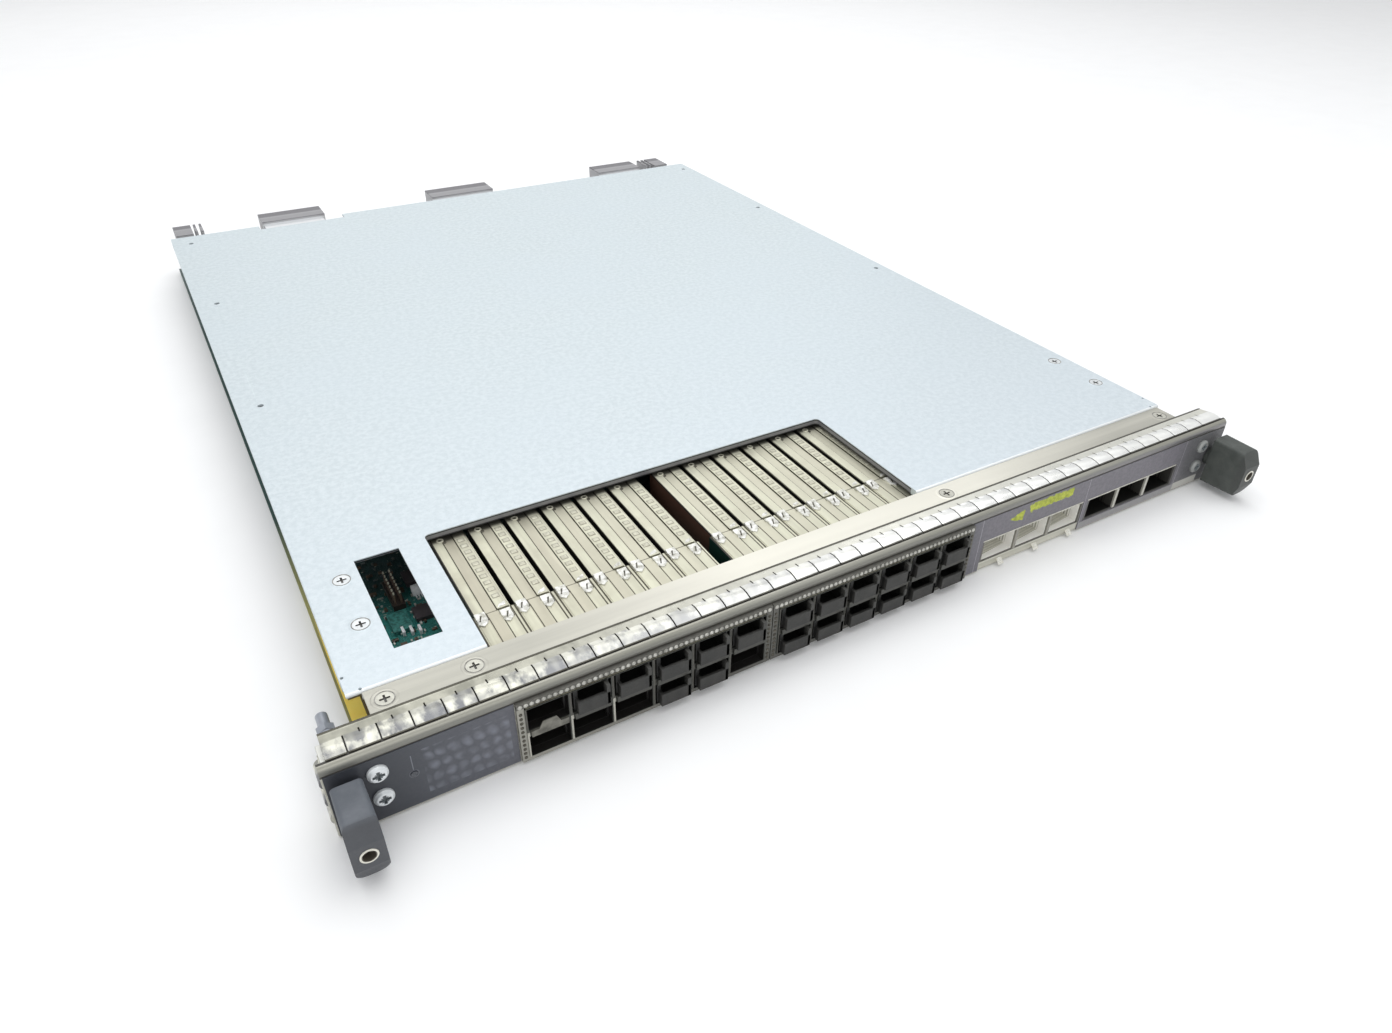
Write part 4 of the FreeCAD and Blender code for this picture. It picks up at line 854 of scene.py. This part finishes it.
# The plate is painted lighter over its middle: a painted sheen.
sheen_midway = plated.level(abs(plated.x - 10), 150, 60)
plated_tone = plated.blend(sheen_midway * 0.85, plated_tone, (0.90, 0.875, 0.775))
shade_line = plated.within(plated.y, strip_y1, strip_y1 + 2.0) * (plated.z > bracket_top - 1.5)
plated_tone = plated.blend(shade_line * 0.88, plated_tone, (0.10, 0.095, 0.075))
bracket_plate = plated.coat(plated_tone, rolled, 0.34, 0.44, 0.55)
dressed("front_bracket", bracket_plate, 0.15)

# ------------------------------------------------------------------ top cover
# The lid of the same zinc-plated sheet, with turned-down edges, an opening over the port cages
# and a small window. Countersunk screws hold it to hexagonal posts on the board.
dressed("top_cover", cover_zinc, 0.2)


def screw_centres(node):
    """Middle points of the separate screws of one CAD node, from left to right."""
    shape = bmesh.new()
    shape.from_mesh(nodes[node].data)
    bmesh.ops.remove_doubles(shape, verts=shape.verts, dist=1e-6)
    left = set(shape.verts)
    centres = []
    while left:
        queue = [left.pop()]
        group = list(queue)
        while queue:
            for e in queue.pop().link_edges:
                for v in e.verts:
                    if v in left:
                        left.discard(v)
                        queue.append(v)
                        group.append(v)
        xs, ys = ([v.co[k] for v in group] for k in (0, 1))
        centres.append(((min(xs) + max(xs)) / 2 / mm, ((min(ys) + max(ys)) / 2 - face) / mm))
    shape.free()
    return sorted(centres)


def screw_finish(name, head_top, dark, light, metal):
    """Plated steel with painted shade in the cross recess below the top of the head."""
    head = Finish(name)
    worn = head.noise(0.5, 2)
    tone = head.blend(worn, dark, light)
    # Painted shade fills the cross recess, kept faint on the rear left screws.
    recess = head.within(head.z, head_top - 1.05, head_top - 0.12)
    recess = recess * (1 - (head.x < -150) * (head.y > 150) * 0.7)
    tone = head.blend(recess, tone, (0.13, 0.125, 0.115))
    return head.coat(tone, worn, 0.30, 0.42, metal * (1 - recess))


seat_shadow = Finish("seat_shadow").plain((0.08, 0.075, 0.065), (0.42, 0.41, 0.38), 2.6, 0.5, 0.3)
post_zinc = Finish("post_zinc").plain((0.50, 0.51, 0.51), (0.68, 0.68, 0.67), 2, 0.35, 0.8)
for node in ("cover_standoffs", "bracket_standoffs"):
    dressed(node, post_zinc, 0.1)
# Each screw sits in a raised dimple ring, with a dark ring of painted shadow in the gap around its head.
for name, rim, plate, slot_name, dark, light in (
        ("cover_screws", 4.3, cover_zinc, "cover_zinc", (0.70, 0.73, 0.74), (0.84, 0.86, 0.86)),
        ("bracket_screws", 4.7, bracket_plate, "bracket_plate", (0.50, 0.49, 0.42), (0.68, 0.67, 0.60))):
    head_top = span(name)[5]
    dressed(name, screw_finish(name + "_finish", head_top, dark, light, 0.5), 0.06)
    for part, ring, look, ring_slot in (
            ("_dimples", [(rim, -0.05), (rim, 0.02), (rim - 0.35, 0.14), (rim - 0.7, 0.14), (3.35, 0.02),
                          (3.35, -0.05)], plate, slot_name),
            ("_gaps", [(3.42, -0.05), (3.42, 0.09), (3.08, 0.09), (3.08, -0.05)], seat_shadow,
             "screw_zinc")):
        rings = Stack()
        for x, y in screw_centres(name):
            rings.turned(x, y, head_top, ring, "Z", 40, True)
        finish_piece(name + part, rings.mesh(name), look)

# ------------------------------------------------------------------ faceplate screws
# Large pan heads with a cross recess, two beside each handle, that pull the faceplate
# on to the jackscrew carriers. Painted shade fills the recesses and darkens the right-hand heads; the
# left ones are bright.
head_radius, low_head, high_head = 3.35, 11.5, 22.8
bright = Finish("face_screw_zinc")
worn = bright.noise(0.6, 2)
aside = abs(bright.x) - (span("faceplate_screws")[1] - head_radius)
recess, halo = 0.0, 0.0
for middle in (low_head, high_head):
    up = bright.z - middle
    arms = (aside * aside < 0.36) + (up * up < 0.36)
    diagonal = abs(aside) - abs(up)
    spokes = (diagonal * diagonal < 0.12) * bright.disc(aside, up, 1.5)
    recess = recess + bright.disc(aside, up, 2.0) * arms + spokes
    halo = halo + bright.disc(aside, up, 3.2) - bright.disc(aside, up, 2.6)
recess = recess * (bright.y < -0.2)
halo = halo * (bright.x < 0)
bright_tone = bright.blend(worn, (0.78, 0.82, 0.84), (0.93, 0.95, 0.95))
bright_tone = bright.blend(halo * 0.35, bright_tone, (0.50, 0.53, 0.54))
# The right-hand heads are darkened as painted shade, and the recesses are filled with painted shade.
bright_tone = bright.blend(bright.level(bright.x, -10, 10) * 0.8, bright_tone, (0.16, 0.165, 0.15))
bright_tone = bright.blend(recess, bright_tone, (0.17, 0.19, 0.20))
face_screw_zinc = bright.coat(bright_tone, worn, 0.35, 0.5, 0.25 * (1 - recess), 0.02)
dressed("faceplate_screws", face_screw_zinc, 0.15)

# ------------------------------------------------------------------ port caps
# Black moulded dust caps in the closed small ports: open-topped scoops with a low front wall
# and a thicker post on the right for the fingertip.
cap_front = span("dust_plugs_left")[2]
deck_floors = (3.5, 16.2)
post_width, post_depth, post_height = 1.5, 2.7, 9.0
cap = Finish("plug_plastic")
pores = cap.noise(0.6, 3)
cap_tone = cap.blend(cap.level(cap.noise(5), 0.35, 0.65), (0.020, 0.020, 0.018), (0.031, 0.030, 0.027))
# Behind the low front wall the scoops are painted darker: painted shade inside them.
cap_tone = cap.blend(cap.y > cap_front + 1.3, cap_tone, (0.010, 0.010, 0.009))
plug_plastic = cap.coat(cap_tone, pores, 0.48, 0.6, 0.0, 0.02)
dressed("dust_plugs_left", plug_plastic, 0.3)
dressed("dust_plugs_right", plug_plastic, 0.3)
posts = Stack()
open_ports = {("left", 0, 0), ("left", 0, 1), ("left", 1, 0), ("left", 2, 0), ("left", 5, 0)}
for end in ("left", "right"):
    x0 = span("sfp_cage_" + end)[0]
    for column in range(columns):
        for deck, low in enumerate(deck_floors):
            if (end, column, deck) not in open_ports:
                x = x0 + pitch * (column + 0.5) + 6.15
                posts.block(x - post_width, x, cap_front, cap_front + post_depth, low, low + post_height)
post_plastic = Finish("post_plastic").plain((0.032, 0.032, 0.029), (0.050, 0.049, 0.044), 5, 0.55)
finish_piece("dust_plug_posts", posts.mesh("dust_plug_posts", 0.25), post_plastic)

# ------------------------------------------------------------------ jackscrews and handles
# A long steel jackscrew at each end turns in an aluminium carrier and draws the card in. Its
# moulded grey plastic handle folds over a steel ferrule with a hexagonal socket.


def handle_finish(name, dark, light, shaded):
    grip = Finish(name)
    pebble = grip.noise(0.8, 3)
    tone = grip.blend(grip.level(grip.noise(6), 0.35, 0.65), dark, light)
    tone = grip.blend(grip.level(grip.y, -17.6, -19.4) * 0.8, tone, shaded)
    return grip.coat(tone, pebble, 0.5, 0.62, 0.0, 0.03)


def ferrule_finish(name, x, z):
    """Cream plated ring around painted shade in its socket."""
    sleeve = Finish(name)
    socket_shade = sleeve.disc(sleeve.x - x, sleeve.z - z, 2.3)
    tone = sleeve.blend(sleeve.noise(0.8), (0.66, 0.64, 0.55), (0.85, 0.83, 0.74))
    tone = sleeve.blend(socket_shade, tone, (0.085, 0.075, 0.058))
    return sleeve.shade(tone, 0.38, 0.3 * (1 - socket_shade), sleeve.noise(0.5), 0.01)


shaft = Finish("shaft_steel")
shaft_tone = shaft.blend(shaft.noise(3), (0.30, 0.32, 0.36), (0.44, 0.46, 0.50))
shaft_tone = shaft.blend(shaft.y < -8, shaft_tone, (0.04, 0.03, 0.022))
shaft_steel = shaft.coat(shaft_tone, shaft.noise(0.5), 0.32, 0.44, 0.4)
block_aluminium = Finish("block_aluminium").plain((0.58, 0.58, 0.54), (0.72, 0.72, 0.68), 3, 0.35, 0.7,
                                                  0.01, (1, 0.1, 1))
grips = {"left": ((0.100, 0.112, 0.130), (0.128, 0.140, 0.160), (0.062, 0.064, 0.070)),
         "right": ((0.055, 0.062, 0.056), (0.080, 0.088, 0.080), (0.060, 0.064, 0.060))}
for end, tones in grips.items():
    body = end + "_ejector"
    x0, x1, _, _, z0, z1 = span("handle_ferrule_" + end)
    ferrule = ferrule_finish("ferrule_" + end, (x0 + x1) / 2, (z0 + z1) / 2)
    plastic = handle_finish("handle_plastic_" + end, *tones)
    dressed("handle_" + end, plastic, 0.25, body, 45)
    dressed("handle_ferrule_" + end, ferrule, 0.1, body)
    dressed("jackscrew_" + end, shaft_steel, 0.1, body)
    dressed("retaining_ring_" + end, shaft_steel, 0.05, body)
    dressed("jackscrew_carrier_" + end, block_aluminium, 0.2)
